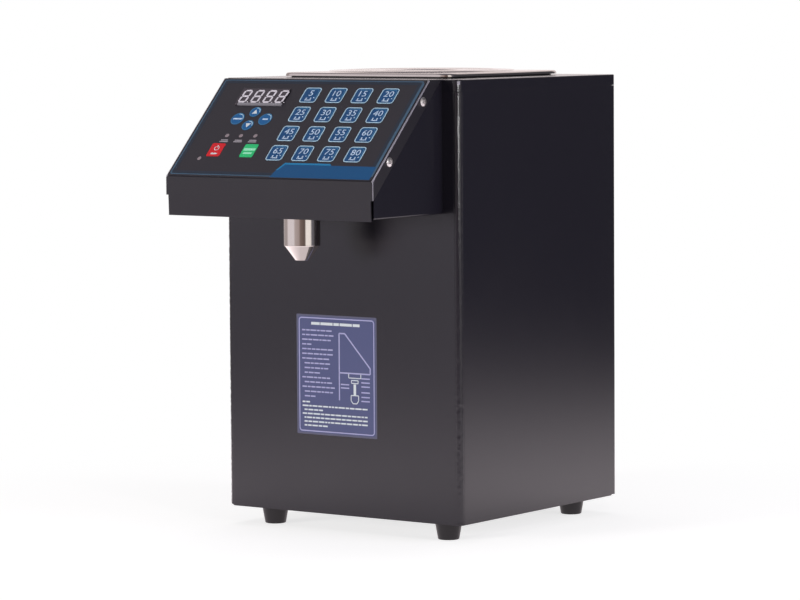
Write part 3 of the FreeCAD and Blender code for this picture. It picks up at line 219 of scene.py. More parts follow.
# %% [markdown]
# ## Powder coat on folded steel
#
# The cabinet is sheet steel, sprayed with charged black powder and baked. The powder melts
# into a hard satin skin with a fine orange peel of about a millimetre. The paint itself is
# nearly black: most of the light that comes from it is the room, mirrored at a twentieth of its
# strength. So the front turns grey where it faces something pale, and the side stays dark. The
# head's cover is smoother to the touch but duller. Nothing is metallic here: the steel is fully
# covered.

# %% Cabinet finish
powder_coat = dress("black_powder_coat", finish("powder_coat_satin_black", "#1f1d26", rough=0.18,
                                                grain=1.2, height=0.12, patch=90, swing=0.02,
                                                shade=0.15))
head_coat = finish("powder_coat_smooth_black", "#211f26", rough=0.40, grain=1.2, height=0.02,
                   patch=60, swing=0.03)
frame["nodes"]["head_cover"].material_slots[0].material = head_coat

# %% [markdown]
# ## Bare metals
#
# The tank and its lid are drawn from stainless sheet, the nozzle is turned and polished, the
# screws and clamps are bright zinc, and the trays inside are galvanised. The pump is die-cast,
# and the motor's can is drawn. They differ by the tint of the metal and by how far the polish
# went: drawing leaves slow waves in the shine, polish a clear mirror, bright zinc a soft cool
# sheen, galvanising large dull patches and casting a fine matt grain. A metal keeps the default
# IOR, since its colour already says how it reflects.

# %% Metal finishes
# slot: name, colour, roughness, grain, height and patch in mm, swing of roughness, shade
METALS = {
    "stainless": ("stainless_drawn", "#c9c2bf", 0.16, 2.0, 0.004, 40, 0.05, 0.05),
    "polished_steel": ("stainless_polished", "#d6cfcb", 0.10, 1.5, 0.002, 15, 0.03, 0.04),
    "screw_steel": ("steel_bright_zinc", "#dcd9da", 0.34, 0.8, 0.01, 6, 0.06, 0.10),
    "zinc_sheet": ("steel_galvanised_sheet", "#9ea3a8", 0.38, 6.0, 0.01, 14, 0.10, 0.25),
    "cast_aluminium": ("aluminium_die_cast", "#a4a6a9", 0.46, 1.2, 0.04, 25, 0.06, 0.12),
    "motor_can": ("steel_drawn_can", "#8f9296", 0.30, 1.5, 0.01, 20, 0.06, 0.10)}
metals = {slot: dress(slot, finish(*row, metal=1.0)) for slot, row in METALS.items()}
stainless, polished, bright_zinc = list(metals.values())[:3]

# %% [markdown]
# ## Rubber, plastics and film
#
# The feet are moulded rubber with a dull skin, the mains inlet is satin black nylon, the gears
# are white acetal with a waxy sheen, and the hoses are clear silicone that looks milky in this
# thickness. The boards are green under a glossy mask. The keypad is one sheet of polyester,
# printed from behind, so its colour sits under a smooth skin with a very fine velvet texture.
# The display has a smoked window.

# %% Plastic finishes
# slot: as above, then the index of refraction
PLASTICS = {
    "black_rubber": ("rubber_moulded", "#1c1b1e", 0.34, 0.9, 0.02, 12, 0.05, 0.12, 1.5),
    "black_plastic": ("nylon_black_moulded", "#17171a", 0.42, 0.7, 0.03, 20, 0.04, 0.12, 1.5),
    "gear_plastic": ("acetal_white_moulded", "#dcd9d0", 0.35, 1.0, 0.01, 20, 0.04, 0.05, 1.48),
    "silicone": ("silicone_hose_milky", "#d9d6cf", 0.34, 1.2, 0.01, 30, 0.04, 0.08, 1.41),
    "circuit_board": ("solder_mask_green", "#14502f", 0.28, 1.6, 0.02, 18, 0.05, 0.2, 1.5),
    "printed_film": ("polyester_film_charcoal", "#2c2a31", 0.36, 0.9, 0.008, 80, 0.02, 0.08, 1.5),
    "display": ("display_window_smoked", "#4a444b", 0.22, 1.2, 0.004, 30, 0.03, 0.10, 1.5)}
plastics = {slot: dress(slot, finish(*row)) for slot, row in PLASTICS.items()}
milky = plastics["silicone"].node_tree.nodes["Principled BSDF"].inputs
milky["Subsurface Weight"].default_value = 0.3
milky["Subsurface Scale"].default_value = 2 * MM

# %% [markdown]
# ## Printing inks
#
# The keys are domes pressed into the film. Their colours are screen inks on the back of it:
# deep blue for the amounts, a lighter blue for the arrows, red and green for stop and start.
# The fine marks on them are pale blue and white. A mid-blue and the pale blue also stand in for
# light: painted highlights, the lines and arcs where a pressed dome catches light. Inks are flat
# and even, so they get hardly any grain, only the film's own skin.

# %% Ink finishes
# shine: the round keys' printed rim and the number keys' painted highlight line; rim: the number
# keys' printed rim and the round keys' painted highlight arc
INKS = {
    "blue": ("ink_deep_blue", "#0b4a7e", 0.10), "arrow": ("ink_arrow_blue", "#14609c", 0.10),
    "red": ("ink_red", "#dc1e28", 0.08), "green": ("ink_green", "#2cc87a", 0.08),
    "mint": ("ink_mint", "#a4f4cc", 0.05), "rim": ("ink_pale_blue_rim_and_painted_highlight", "#b4d4e8", 0.05),
    "shine": ("ink_mid_blue_rim_and_painted_highlight", "#3d7ca6", 0.05), "white": ("ink_white", "#dfe6ea", 0.03),
    "figure": ("ink_figure_blue_white", "#c8dcf4", 0.03),
    "legend": ("ink_legend_grey", "#a8a2aa", 0.05), "teal": ("ink_teal_line", "#436078", 0.08),
    "navy": ("ink_navy_band", "#232d3c", 0.08), "banner": ("ink_banner_blue", "#075083", 0.10),
    "strip": ("ink_strip_blue", "#1c80b4", 0.06), "lamp": ("lamp_window_tinted", "#988a90", 0.10),
    "digit": ("segment_pale", "#e6e0ea", 0.05), "shell": ("display_shell_grey", "#8f8c94", 0.08)}
ink = SimpleNamespace(**{key: finish(name, colour, 0.34, 0.9, 0.006, 25, 0.02, shade)
                         for key, (name, colour, shade) in INKS.items()})
for slot, mat in (("number_key_film", ink.blue), ("arrow_key_film", ink.arrow),
                  ("stop_key_film", ink.red), ("start_key_film", ink.green)):
    dress(slot, mat)

# %% [markdown]
# ## Surfaces from arrays
#
# Every new piece below is a grid of points: rows run along a profile, columns run round it
# or across it. Quads between neighbours are found by index arithmetic on whole arrays, and a
# row or column may follow on from the last one to close a ring. A piece is drawn in
# millimetres and scaled once, when its mesh is made.

# %% From rings of points to faces
def grid_faces(rows, cols, close_rows=False, close_cols=False):
    """Each quad joins (i, j), (i, j+1), (i+1, j+1), (i+1, j); closing wraps the index with a
    remainder."""
    i, j = np.meshgrid(np.arange(rows - (not close_rows)), np.arange(cols - (not close_cols)),
                       indexing="ij")
    below, beside = (i + 1) % rows, (j + 1) % cols
    quads = np.stack([i * cols + j, i * cols + beside, below * cols + beside, below * cols + j], -1)
    return quads.reshape(-1, 4)


def capped(rings, turned_over=False):
    """A stack of rings, shape (rows, columns, 3), with quads between them and one face at each
    end; turned over, every face runs the other way."""
    rows, cols = rings.shape[:2]
    faces = grid_faces(rows, cols, close_cols=True).tolist()
    faces += [list(range(cols))[::-1], list(range((rows - 1) * cols, rows * cols))]
    return rings.reshape(-1, 3), [face[::-1] for face in faces] if turned_over else faces


def piece(name, body, parts, replaced=(), smooth=False):
    """Join (points, faces, material) parts into one mesh object in metres, riding on a body."""
    points = np.concatenate([p for p, _, _ in parts]) * MM
    starts = np.cumsum([0] + [len(p) for p, _, _ in parts]).tolist()
    mats = list(dict.fromkeys(mat for _, _, mat in parts))
    faces = [[v + start for v in face]
             for (_, some, _), start in zip(parts, starts) for face in some]
    marks = [mats.index(mat) for _, some, mat in parts for _ in some]
    mesh = bpy.data.meshes.new(name)
    mesh.from_pydata(points.tolist(), [], faces)
    for mat in mats:
        mesh.materials.append(mat)
    mesh.polygons.foreach_set("material_index", marks)
    mesh.polygons.foreach_set("use_smooth", [smooth] * len(faces))
    mesh.update()
    obj = new_object(name, mesh)
    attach(obj, body)
    if replaced:
        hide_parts(*replaced)
    return obj


print("a grid of 3 by 4 points has", len(grid_faces(3, 4)), "quads")

# %% [markdown]
# ## Outlines, plates and turned work
#
# Three kinds of ring cover most of the machine. A profile spun round the vertical gives turned
# work. A rounded rectangle lifted from one height to another gives a plate, and two of them,
# one inside the other, give a flat frame.

# %% Rings of these kinds
def full_turn(count):
    """Angles in equal steps round a circle; the last one stops a step short of the first."""
    return np.linspace(0, 2 * np.pi, count, endpoint=False)


def on_circle(a):
    """The point (cos a, sin a) for each angle."""
    return np.stack([np.cos(a), np.sin(a)], -1)


def spun(profile, columns):
    """A profile of (radius, height) is carried round the vertical: x = r cos a, y = r sin a,
    z = height."""
    r, z = np.array(profile, float).T
    a = full_turn(columns)
    return np.stack([r[:, None] * np.cos(a), r[:, None] * np.sin(a), z[:, None] + 0 * a], -1)


def turned(profile, columns=96):
    """A closed profile, anticlockwise, spun to a closed surface."""
    faces = grid_faces(len(profile), columns, True, True).tolist()
    return spun(profile, columns).reshape(-1, 3), faces


def rounded_outline(wide, high, radius, steps=8):
    """Four quarter circles, one to a corner, joined by straight sides; anticlockwise from the
    right."""
    quarter = np.linspace(0, np.pi / 2, steps)
    turns = np.arange(4)[:, None] * np.pi / 2 + quarter
    signs = np.array([[1, 1], [-1, 1], [-1, -1], [1, -1]])[:, None, :]
    centre = signs * (np.array([wide, high]) / 2 - radius)
    return (centre + radius * on_circle(turns)).reshape(-1, 2)


def levels(outlines, heights):
    """Each outline at its own height."""
    return np.stack([np.column_stack([line, np.full(len(line), h)])
                     for line, h in zip(outlines, heights)])


def plate(outline, low, high):
    """An outline lifted from low to high."""
    return capped(levels([outline, outline], [low, high]))


def frame_of(outer, inner, low, high):
    """A flat ring: outer wall up, across the top, inner wall down and back under, four rows."""
    rings = levels([outer, outer, inner, inner], [low, high, high, low])
    return rings.reshape(-1, 3), grid_faces(4, len(outer), True, True).tolist()


def moved(part, x, y, z=0.0):
    """The same part, shifted."""
    return part[0] + np.array([x, y, z]), part[1]


print("a 10 mm square with 2 mm corners has", len(rounded_outline(10, 10, 2)), "points")

# %% [markdown]
# ## Laying flat work on a slope
#
# Prints are drawn flat, with x to the right, y up the page and z out of it. The keypad
# slopes back at 45 degrees and the front panel is upright. Both are planes, so three
# directions and one origin carry the drawing to its place.

# %% Two planes to print on
SLOPE = math.sqrt(0.5)
KEYPAD = (np.array([0, -174.05, 311.0]), np.array([0, SLOPE, SLOPE]))
FRONT = (np.array([0, -72.55, 0.0]), np.array([0, 0, 1.0]))
FILM_TOP, KEY_TOP = 1.1, 1.2


def laid(part, plane):
    """Point = origin + x * right + y * up + z * (right x up)."""
    origin, upward = plane
    across = np.array([1.0, 0, 0])
    return origin + part[0] @ np.stack([across, upward, np.cross(across, upward)]), part[1]


def printed(name, body, layers, plane, spot):
    """Layers, each an ink and its flat parts, shifted to a spot on the plane, as one piece."""
    return piece(name, body, [(*laid(moved(part, *spot), plane), colour)
                                    for colour, parts in layers for part in parts])


def off_slope(along, out, x):
    """A point by its distance up the keypad's slope from the lower bend and out of its plane."""
    _, y, z = KEYPAD[0]
    return (x, y + (along - out) * SLOPE, z + (along + out) * SLOPE)


print("keypad plane faces", np.cross([1, 0, 0], KEYPAD[1]).round(3))

# %% [markdown]
# ## Numbers
#
# The amounts are plain upright figures. The built-in typeface is close enough, and a text
# object can be given a small thickness and turned into a mesh, whose points are then used
# like any other part. Making the mesh before placing it keeps the object itself at rest.

# %% Figures from the built-in typeface
def figures(text, height, thick=0.05, wide=1.0):
    """Text as closed figures centred on the origin, `height` mm tall: fronts, backs and sides come
    apart from the curve, already facing outwards, so their shared points are merged."""
    curve = bpy.data.curves.new("figures", "FONT")
    curve.body = text
    curve.align_x = "CENTER"
    curve.extrude = 0.5
    curve.resolution_u = 4
    drawn = bpy.data.objects.new("figures", curve)
    mesh = bpy.data.meshes.new_from_object(drawn)
    shell = bmesh.new()
    shell.from_mesh(mesh)
    bmesh.ops.remove_doubles(shell, verts=shell.verts, dist=1e-5)
    shell.to_mesh(mesh)
    shell.free()
    points = np.empty(len(mesh.vertices) * 3)
    mesh.vertices.foreach_get("co", points)
    points = points.reshape(-1, 3)
    faces = [list(f.vertices) for f in mesh.polygons]
    bpy.data.objects.remove(drawn)
    bpy.data.meshes.remove(mesh)
    low, high = points.min(0), points.max(0)
    points -= [(low[0] + high[0]) / 2, (low[1] + high[1]) / 2, low[2]]
    scale = height / (high[1] - low[1])
    points *= [scale * wide, scale, thick / (high[2] - low[2])]
    return points, faces


print("the figure 80 has", len(figures("80", 5)[0]), "points")

# %% [markdown]
# ## The number keys
#
# Sixteen square keys, four by four, set the amount to pour. Each has a pale rim, a mid-blue line
# along the top and the right that is a painted highlight, where the pressed dome catches light,
# its number, and under it a small cup for the portion that it calls.

# %% Rims, lines and bars of ink
RIM_STEPS, INK_HIGH = 8, 0.05


def flat(outline):
    """A layer of ink in the outline's shape, INK_HIGH above and below the plane."""
    return plate(outline, -INK_HIGH, INK_HIGH)


def ring(wide, high, radius, width):
    """A rim of constant width, by setting the outline in by that width and its corners with it."""
    outer = rounded_outline(wide, high, radius, RIM_STEPS)
    within = max(radius - width, 0.05)
    inner = rounded_outline(wide - 2 * width, high - 2 * width, within, RIM_STEPS)
    return frame_of(outer, inner, -INK_HIGH, INK_HIGH)


def corner_line(size, radius, width):
    """The part of a rim from the foot of its right side, round the corner, to the left end of its
    top."""
    outer, inner = [np.roll(rounded_outline(s, s, r, RIM_STEPS), 1, 0)[:RIM_STEPS + 2]
                    for s, r in ((size, radius), (size - 2 * width, radius - width))]
    return flat(np.concatenate([outer, inner[::-1]]))


def bar(wide, high, x, y, radius=0.25):
    """A small rounded dash of ink."""
    return moved(flat(rounded_outline(wide, high, radius, 4)), x, y)


# %% Sixteen keys
KEY_SIZE, KEY_ROUND, FIRST_KEY, KEY_STEP = 17.4, 3.0, (-4.6, 29.1), (27.15, 22.3)
NUMBERS = range(5, 85, 5)
cup = [bar(1.2, 3.4, -2.5, -4.6), bar(1.2, 3.4, 2.0, -4.6), bar(6.6, 1.0, -0.25, -5.8),
       bar(1.1, 1.1, 5.0, -3.0)]

for k, number in enumerate(NUMBERS):
    x, y = FIRST_KEY[0] + KEY_STEP[0] * (k % 4), FIRST_KEY[1] + KEY_STEP[1] * (3 - k // 4)
    figure = moved(figures(str(number), 6.3, wide=1.12), 0, 2.3, -0.01)
    printed("key_%d_print" % number, "key_%d" % number, [
        (ink.rim, [ring(KEY_SIZE, KEY_SIZE, KEY_ROUND, 0.95)]),
        # mid-blue line along the top and right: a painted highlight of the dome
        (ink.shine, [corner_line(13.8, 2.2, 0.6)]),
        (ink.figure, [figure, *cup])], KEYPAD, (x, y, KEY_TOP))
print(len(NUMBERS), "number keys printed")

# %% [markdown]
# ## Arrow, stop and start keys
#
# Four round keys sit in a diamond: up and down carry a white triangle, the outer two a
# pale bar. Each has a thin mid-blue rim, and inside it a pale arc at its top right, a painted
# highlight where the dome catches light. The stop key has the usual ring with a gap at its top
# and a stroke through it, and the start key two plain bars.

# %% Round and rectangular keys
def disc_ring(outer, inner, start=0, sweep=360, columns=48):
    """An arc band between two radii, from `start` through `sweep` degrees; a full turn closes on
    itself."""
    full = sweep == 360
    swept = np.linspace(0, np.radians(sweep), columns, endpoint=not full)
    around = on_circle(np.radians(start) + swept)
    if full:
        return frame_of(around * outer, around * inner, -INK_HIGH, INK_HIGH)
    return flat(np.concatenate([around * outer, around[::-1] * inner]))


def triangle(size, way):
    """Three points at 120 degrees, the first of them up or down; set back so that it looks
    centred."""
    return moved(flat(size * on_circle(np.pi / 2 * way + full_turn(3))), 0, -0.5 * way)


# x, y and radius, then the mark and its ink
ROUND = {"key_up": (-53, 75.6, 5.7, triangle(3.2, 1), ink.white),
         "key_down": (-53, 60.1, 5.7, triangle(3.2, -1), ink.white),
         "key_left": (-67.8, 67.3, 6.7, bar(9.0, 1.7, 0, 0), ink.figure),
         "key_right": (-37.8, 67.3, 6.7, bar(5.6, 1.7, 0, 0), ink.figure)}
for name, (x, y, r, mark, colour) in ROUND.items():
    printed(name + "_print", name, [
        (ink.shine, [disc_ring(r - 0.1, r - 0.8)]),
        # pale arc at the top right: a painted highlight of the dome
        (ink.rim, [disc_ring(r - 0.9, r - 1.6, -5, 100)]), (colour, [mark])],
        KEYPAD, (x, y, KEY_TOP))

stop = [moved(disc_ring(2.6, 1.9, 125, 290), 0, 1.8), bar(0.8, 2.9, 0, 3.9), bar(6.5, 1.6, 0, -4.4)]
start = [bar(12.2, 2.6, 0, 1.4), bar(9.0, 1.9, 0, -2.9)]
printed("key_stop_print", "key_stop", [(ink.white, stop)], KEYPAD,
        (-71.3, 31.0, KEY_TOP))
printed("key_start_print", "key_start", [(ink.mint, start)], KEYPAD,
        (-35.6, 30.8, KEY_TOP))
print("round keys", list(ROUND))

# %% [markdown]
# ## The printed sheet round the keys
#
# A thin teal line runs round the sheet close to its edge, with a navy band inside it. A blue
# banner with a slanted start fills the lower right corner, with a bright strip along its top;
# what would be a name on it stays bare. Four small tinted windows let the indicator lamps shine
# through, three of them with two short bars under them.

# %% Lines, banner and lamp windows
SHEET_W, SHEET_H, SHEET_MID = 215.4, 113.67, 57.98
BANNER = [(2.2, 1.5), (105.6, 1.5), (105.6, 16.0), (59.5, 16.0), (57.5, 18.1), (10.0, 18.1),
          (4.4, 8.6)]
STRIP = [(4.6, 9.6), (6.6, 9.6), (11.2, 16.1), (59.0, 16.1), (57.2, 18.0), (10.1, 18.0)]
WINDOWS = [(-68.3, 47.7), (-53.4, 47.7), (-37.9, 47.9), (-83.7, 20.8)]


def circle(radius, columns=24):
    """Points round a circle."""
    return radius * on_circle(full_turn(columns))


def border(inset, width):
    """A band round the sheet, set in from its edge; a little less above and below."""
    return moved(ring(SHEET_W - 2 * inset, SHEET_H - 1.4 * inset, 2.0, width), 0, SHEET_MID - 0.2)


window = plate(circle(2.0), -0.05, 0.07)
legend = [bar(w, 1.1, x, y - dy) for x, y in WINDOWS[:3] for w, dy in ((7.6, 5.2), (9.0, 7.0))]
printed("keypad_artwork", "cabinet", [
    (ink.teal, [border(1.8, 1.3)]), (ink.navy, [border(3.3, 3.2)]),
    (ink.teal, [moved(bar(1.7, SHEET_H - 8, 106.3, SHEET_MID), 0, 0, 0.01)]),
    (ink.banner, [plate(BANNER, -0.05, 0.07)]), (ink.strip, [plate(STRIP, -0.05, 0.09)]),
    (ink.lamp, [moved(window, x, y) for x, y in WINDOWS]), (ink.legend, legend)],
    KEYPAD, (0, 0, FILM_TOP))
print("lamp windows", len(WINDOWS))

# %% [markdown]
# ## The display
#
# The module stands a little proud of the sheet, and its grey shell shows as a strip below the
# smoked window. On the window are four digits of seven slanted segments, with a decimal point
# after each. Every segment is the same six-sided bar, and each digit leans to the right by about
# a tenth of its height.

# %% Seven-segment digits
DIGIT_HIGH, DIGIT_WIDE, SEGMENT, DIGIT_STEP, LEAN = 15.0, 9.0, 1.8, 13.15, 0.11
DISPLAY_X, DISPLAY_Y, DISPLAY_TOP = -54.0, 92.6, 2.3


def segment(length, wide):
    """A bar pointed at both ends, along x, centred on the origin."""
    tip, half = length / 2, wide / 2
    return np.array([(-tip, 0), (-tip + half, -half), (tip - half, -half), (tip, 0),
                     (tip - half, half), (-tip + half, half)])


def digit(x):
    """Seven bars: three level ones and four upright ones, all sheared by the lean, then the
    point."""
    half_w, half_h = (DIGIT_WIDE - SEGMENT) / 2, (DIGIT_HIGH - SEGMENT) / 2
    level = segment(2 * half_w - 0.3, SEGMENT)
    upright = segment(half_h - 0.3, SEGMENT)[:, ::-1] * [-1, 1]
    spots = [(level, 0, dy) for dy in (half_h, 0, -half_h)]
    spots += [(upright, sx * half_w, sy * half_h / 2) for sx in (-1, 1) for sy in (-1, 1)]
    outlines = [shape + [dx, dy] for shape, dx, dy in spots]
    bars = [moved(flat(line + [1, 0] * (LEAN * line[:, 1:])), x, 0.2) for line in outlines]
    return bars + [moved(flat(circle(0.6)), x + 5.7, -6.6)]


shell = plate(rounded_outline(47.6, 2.3, 0.3), FILM_TOP + 0.02 - DISPLAY_TOP, 0.08)
digits = [part for k in range(4) for part in digit(1.3 + DIGIT_STEP * (k - 1.5))]
printed("display_digits", "cabinet", [(ink.shell, [moved(shell, 1.4, -8.6)]),
                                                 (ink.digit, digits)],
        KEYPAD, (DISPLAY_X, DISPLAY_Y, DISPLAY_TOP))
print("display parts", 1 + len(digits))

# %% [markdown]
# ## The cleaning label
#
# A blue-grey label on the front panel shows how the nozzle comes apart. Its sentences are
# drawn as rows of plain dashes of uneven length, and the picture is a simple outline of the
# head with the nozzle's pieces under it, made of straight strokes.

# %% Strokes and dashes
# printed vinyl is even and satin, so the label shows none of the coat's orange peel
label_blue = finish("vinyl_label_slate", "#50567f", 0.40, 1.0, 0.006, 30, shade=0.08)
label_edge = finish("vinyl_label_edge", "#5c5d74", 0.42, 1.0, 0.006, 30)
label_ink = finish("ink_lavender", "#b4b3da", 0.40, 1.0, 0.006, 30, shade=0.04)


def stroke(a, b, width):
    """A straight line with square ends: the two end points pushed apart across the line."""
    a, b = np.array(a, float), np.array(b, float)
    along = (b - a) / np.linalg.norm(b - a)
    side = np.array([-along[1], along[0]]) * width / 2
    return flat(np.array([a - side, b - side, b + side, a + side]))


def dashes(wide, high, left, y, seed, word=4.5, gap=0.8):
    """A line of small print: word lengths are drawn between half and one and a half times `word`
    from a seeded generator, and scaled so that words and gaps fill the line's width."""
    count = max(int(round(wide / (word + gap))), 1)
    lengths = np.random.default_rng(seed).uniform(0.5, 1.5, count)
    lengths *= (wide - gap * (count - 1)) / lengths.sum()
    starts = left + np.concatenate([[0], np.cumsum(lengths + gap)[:-1]])
    return [bar(w, high, x + w / 2, y, 0.2) for w, x in zip(lengths, starts)]


# %% The label
LABEL_X, LABEL_Z, LABEL_W, LABEL_H, LABEL_TOP = -5.0, 136.95, 86.0, 104.3, 0.17
# each row of dashes: its length, and how far it is set in
NARROW = [(32, 0), (34, 0), (31, 0), (10, 0), (33, 0), (33, 0), (29, 0), (27.5, 2.5), (25.5, 2.5),
          (16.5, 2.5), (30, 0), (29.5, 2.5), (35, 0), (30.5, 2.5), (11.5, 2.5)]
BROAD = [(8, 0), (70, 0), (20, 2), (70, 0), (68, 2), (68, 2), (25, 2)]
# each line of the drawing: its width, its ink and its corners
DRAWING = [(1.2, label_ink, [(3, -21), (3, 37), (9, 37), (36, 8), (36, 3), (3, 3)]),
           (0.8, ink.white, [(13, 2.5), (13, -1), (26, -1), (26, 2.5)]),
           (0.8, ink.white, [(16, -3), (23, -3), (23, -5.5), (16, -5.5), (16, -3)]),
           (0.8, ink.white, [(15.5, -16), (15.5, -20.5), (17.5, -23), (21.5, -23), (23.5, -20.5),
                             (23.5, -16), (15.5, -16)])]
CAPTIONS = [(31, -1), (31, -4.5), (31, -8), (9, -7), (9, -10), (31, -13), (31, -17), (31, -20.5)]

sheet = plate(rounded_outline(LABEL_W, LABEL_H, 1.0, 4), -LABEL_TOP, 0.12 - LABEL_TOP)
field = plate(rounded_outline(LABEL_W - 3, LABEL_H - 3, 2.5, 6), 0.05 - LABEL_TOP, 0.16 - LABEL_TOP)
label = [(label_edge, [sheet]), (label_blue, [field]),
         (label_ink, [ring(LABEL_W - 5, LABEL_H - 5, 3.0, 0.9)]),
         (ink.white, dashes(52, 2.4, -27, 44.5, seed=1, word=9.0))]
label += [(label_ink, dashes(w, 1.2, -37 + inset, 38.5 - 4.1 * k, seed=k + 2))
          for k, (w, inset) in enumerate(NARROW)]
label += [(ink.white, dashes(w, 1.3, -37 + inset, -24.0 - 3.4 * k, seed=k + 30))
          for k, (w, inset) in enumerate(BROAD)]
label += [(colour, [stroke(a, b, width) for a, b in zip(line[:-1], line[1:])])
          for width, colour, line in DRAWING]
label += [(ink.white, [bar(2.6, 9.5, 19.5, -11.0)]),
          (label_ink, [bar(9, 1.1, x, y) for x, y in CAPTIONS])]
printed("cleaning_label", "cabinet", label, FRONT,
        (LABEL_X, LABEL_Z, LABEL_TOP))
print("label parts", sum(len(parts) for _, parts in label))

# %% [markdown]
# ## The pressed lid
#
# The lid is one pressing in stainless sheet: a turned-down edge, a flat flange, a round step up
# to the field, a stiffening bead, and a round finger dish across which a bar is welded. Each of
# these is a smooth step in height along the radius. The rings are circles as far as the step, and
# from there they blend to the square edge with its round corners. A Solidify modifier then gives
# the sheet its thickness.

# %% Lid surface
LID_Y, LID_TOP, LID_W, LID_D, LID_ROUND = 49.45, 399.05, 179.5, 173.5, 10.0
FIELD_R, STEP_R, BEAD_R, DISH_R, FLOOR_OF_DISH = 84.0, 81.2, 67.0, 36.0, 25.5
CROWN, STEP_HIGH, BEAD_HIGH, DISH_DEEP, EDGE_ROLL = 1.8, 1.2, 0.6, 10.0, 2.4


def smooth_step(t):
    """3 t^2 - 2 t^3, held between 0 and 1."""
    t = np.clip(t, 0, 1)
    return t * t * (3 - 2 * t)


def ray_to_rounded(wide, deep, radius, a):
    """Distance from the centre to a rounded rectangle along each direction a: the side's line is
    hit first, and inside a corner's sector the corner circle is, by solving |t u - c| = r for t."""
    ux, uy = np.abs(np.cos(a)), np.abs(np.sin(a))
    straight = np.minimum(wide / 2 / np.maximum(ux, 1e-9), deep / 2 / np.maximum(uy, 1e-9))
    cx, cy = wide / 2 - radius, deep / 2 - radius
    along = ux * cx + uy * cy
    inside = along ** 2 - (cx ** 2 + cy ** 2 - radius ** 2)
    corner = along + np.sqrt(np.maximum(inside, 0))
    in_corner = (straight * ux > cx) & (straight * uy > cy)
    return np.where(in_corner, corner, straight)


def lid_surface(columns=216):
    """Rings: circles as far as the field's edge, then blends from circle to rounded rectangle.
    Height is the sum of smooth steps: up from the flange at STEP_R, a bead at BEAD_R and down into
    the dish; at the edge the last rings turn down into a skirt, whose last two rings lie close
    together so that its shading stays level."""
    a = full_turn(columns) + np.pi / columns
    edge = ray_to_rounded(LID_W, LID_D, LID_ROUND, a) - EDGE_ROLL
    circles = np.concatenate([np.linspace(0.5, 24, 10), np.linspace(25.5, 38, 20),
                              np.linspace(40, 58, 8), np.linspace(59, FIELD_R, 44)])
    share = np.linspace(0, 1, 7)[1:, None]
    radius = np.concatenate([np.repeat(circles[:, None], columns, 1),
                             FIELD_R + (edge - FIELD_R) * share])
    step = STEP_HIGH * (1 - smooth_step((radius - STEP_R) / 1.8))
    bead_high = BEAD_HIGH * smooth_step(1.5 - np.abs(radius - BEAD_R) / 2.2)
    well = DISH_DEEP * (1 - smooth_step((radius - FLOOR_OF_DISH) / (DISH_R - FLOOR_OF_DISH)))
    top = LID_TOP - CROWN + step + bead_high - well
    turn = np.linspace(0, np.pi / 2, 6)[1:]
    skirt_r = np.concatenate([EDGE_ROLL * np.sin(turn), [EDGE_ROLL, EDGE_ROLL]])
    skirt_h = np.concatenate([EDGE_ROLL * (np.cos(turn) - 1), [-2.9, -3.0]])
    radius = np.concatenate([radius, edge + skirt_r[:, None]])
    top = np.concatenate([top, top[-1] + skirt_h[:, None]])
    points = np.stack([radius * np.cos(a), LID_Y + radius * np.sin(a), top], -1)
    rows = len(points)
    faces = grid_faces(rows, columns, close_cols=True)[:, ::-1].tolist()
    middle = [[0, LID_Y, LID_TOP - CROWN + STEP_HIGH - DISH_DEEP]]
    faces += [[rows * columns, j, (j + 1) % columns] for j in range(columns)]
    return np.concatenate([points.reshape(-1, 3), middle]), faces


lid = piece("lid_pressing", "tank_lid", [(*lid_surface(), stainless)],
            replaced=("tank_lid",), smooth=True)
wall = lid.modifiers.new("sheet", "SOLIDIFY")
wall.thickness, wall.offset = 0.9 * MM, -1.0
print("lid points", len(lid.data.vertices))

# %% [markdown]
# ## The lid's bar
#
# A flat bar with round corners and soft edges is welded across the dish. Its profile is carried
# round an outline: each row of the grid is the same outline, set in by a little and lifted
# by a little, following a quarter circle at the top and the bottom edge.

# %% Bar with soft edges
def soft_plate(wide, high, radius, low, top, soft, steps=4, corner=8):
    """Rows follow quarter circles: inset = s (1 - sin t), height = s (1 - cos t), below and
    above."""
    t = np.linspace(0, np.pi / 2, steps)
    inset, rise = soft * (1 - np.sin(t)), soft * (1 - np.cos(t))
    rows = [rounded_outline(wide - 2 * i, high - 2 * i, max(radius - i, 0.05), corner)
            for i in [*inset, *inset[::-1]]]
    return capped(levels(rows, [*(low + rise), *(top - rise[::-1])]))


bar_part = moved(soft_plate(75.4, 16.0, 1.5, 0.0, 3.0, 0.9), 0, LID_Y, 395.1)
lid_bar = piece("lid_bar", "tank_lid", [(*bar_part, stainless)], smooth=True)
for face in lid_bar.data.polygons:
    face.use_smooth = len(face.vertices) == 4
print("bar points", len(bar_part[0]))

# %% [markdown]
# ## The nozzle
#
# The nozzle is turned from stainless bar and polished: a cylinder, a short cone and a small
# mouth. On the lathe each edge is broken by a fraction of a millimetre, and that thin round
# catches a bright line, so every corner of the profile gives way to a short arc.

# %% Turned nozzle
def unit(rows):
    """Each row divided by its own length."""
    return rows / np.linalg.norm(rows, axis=1)[:, None]


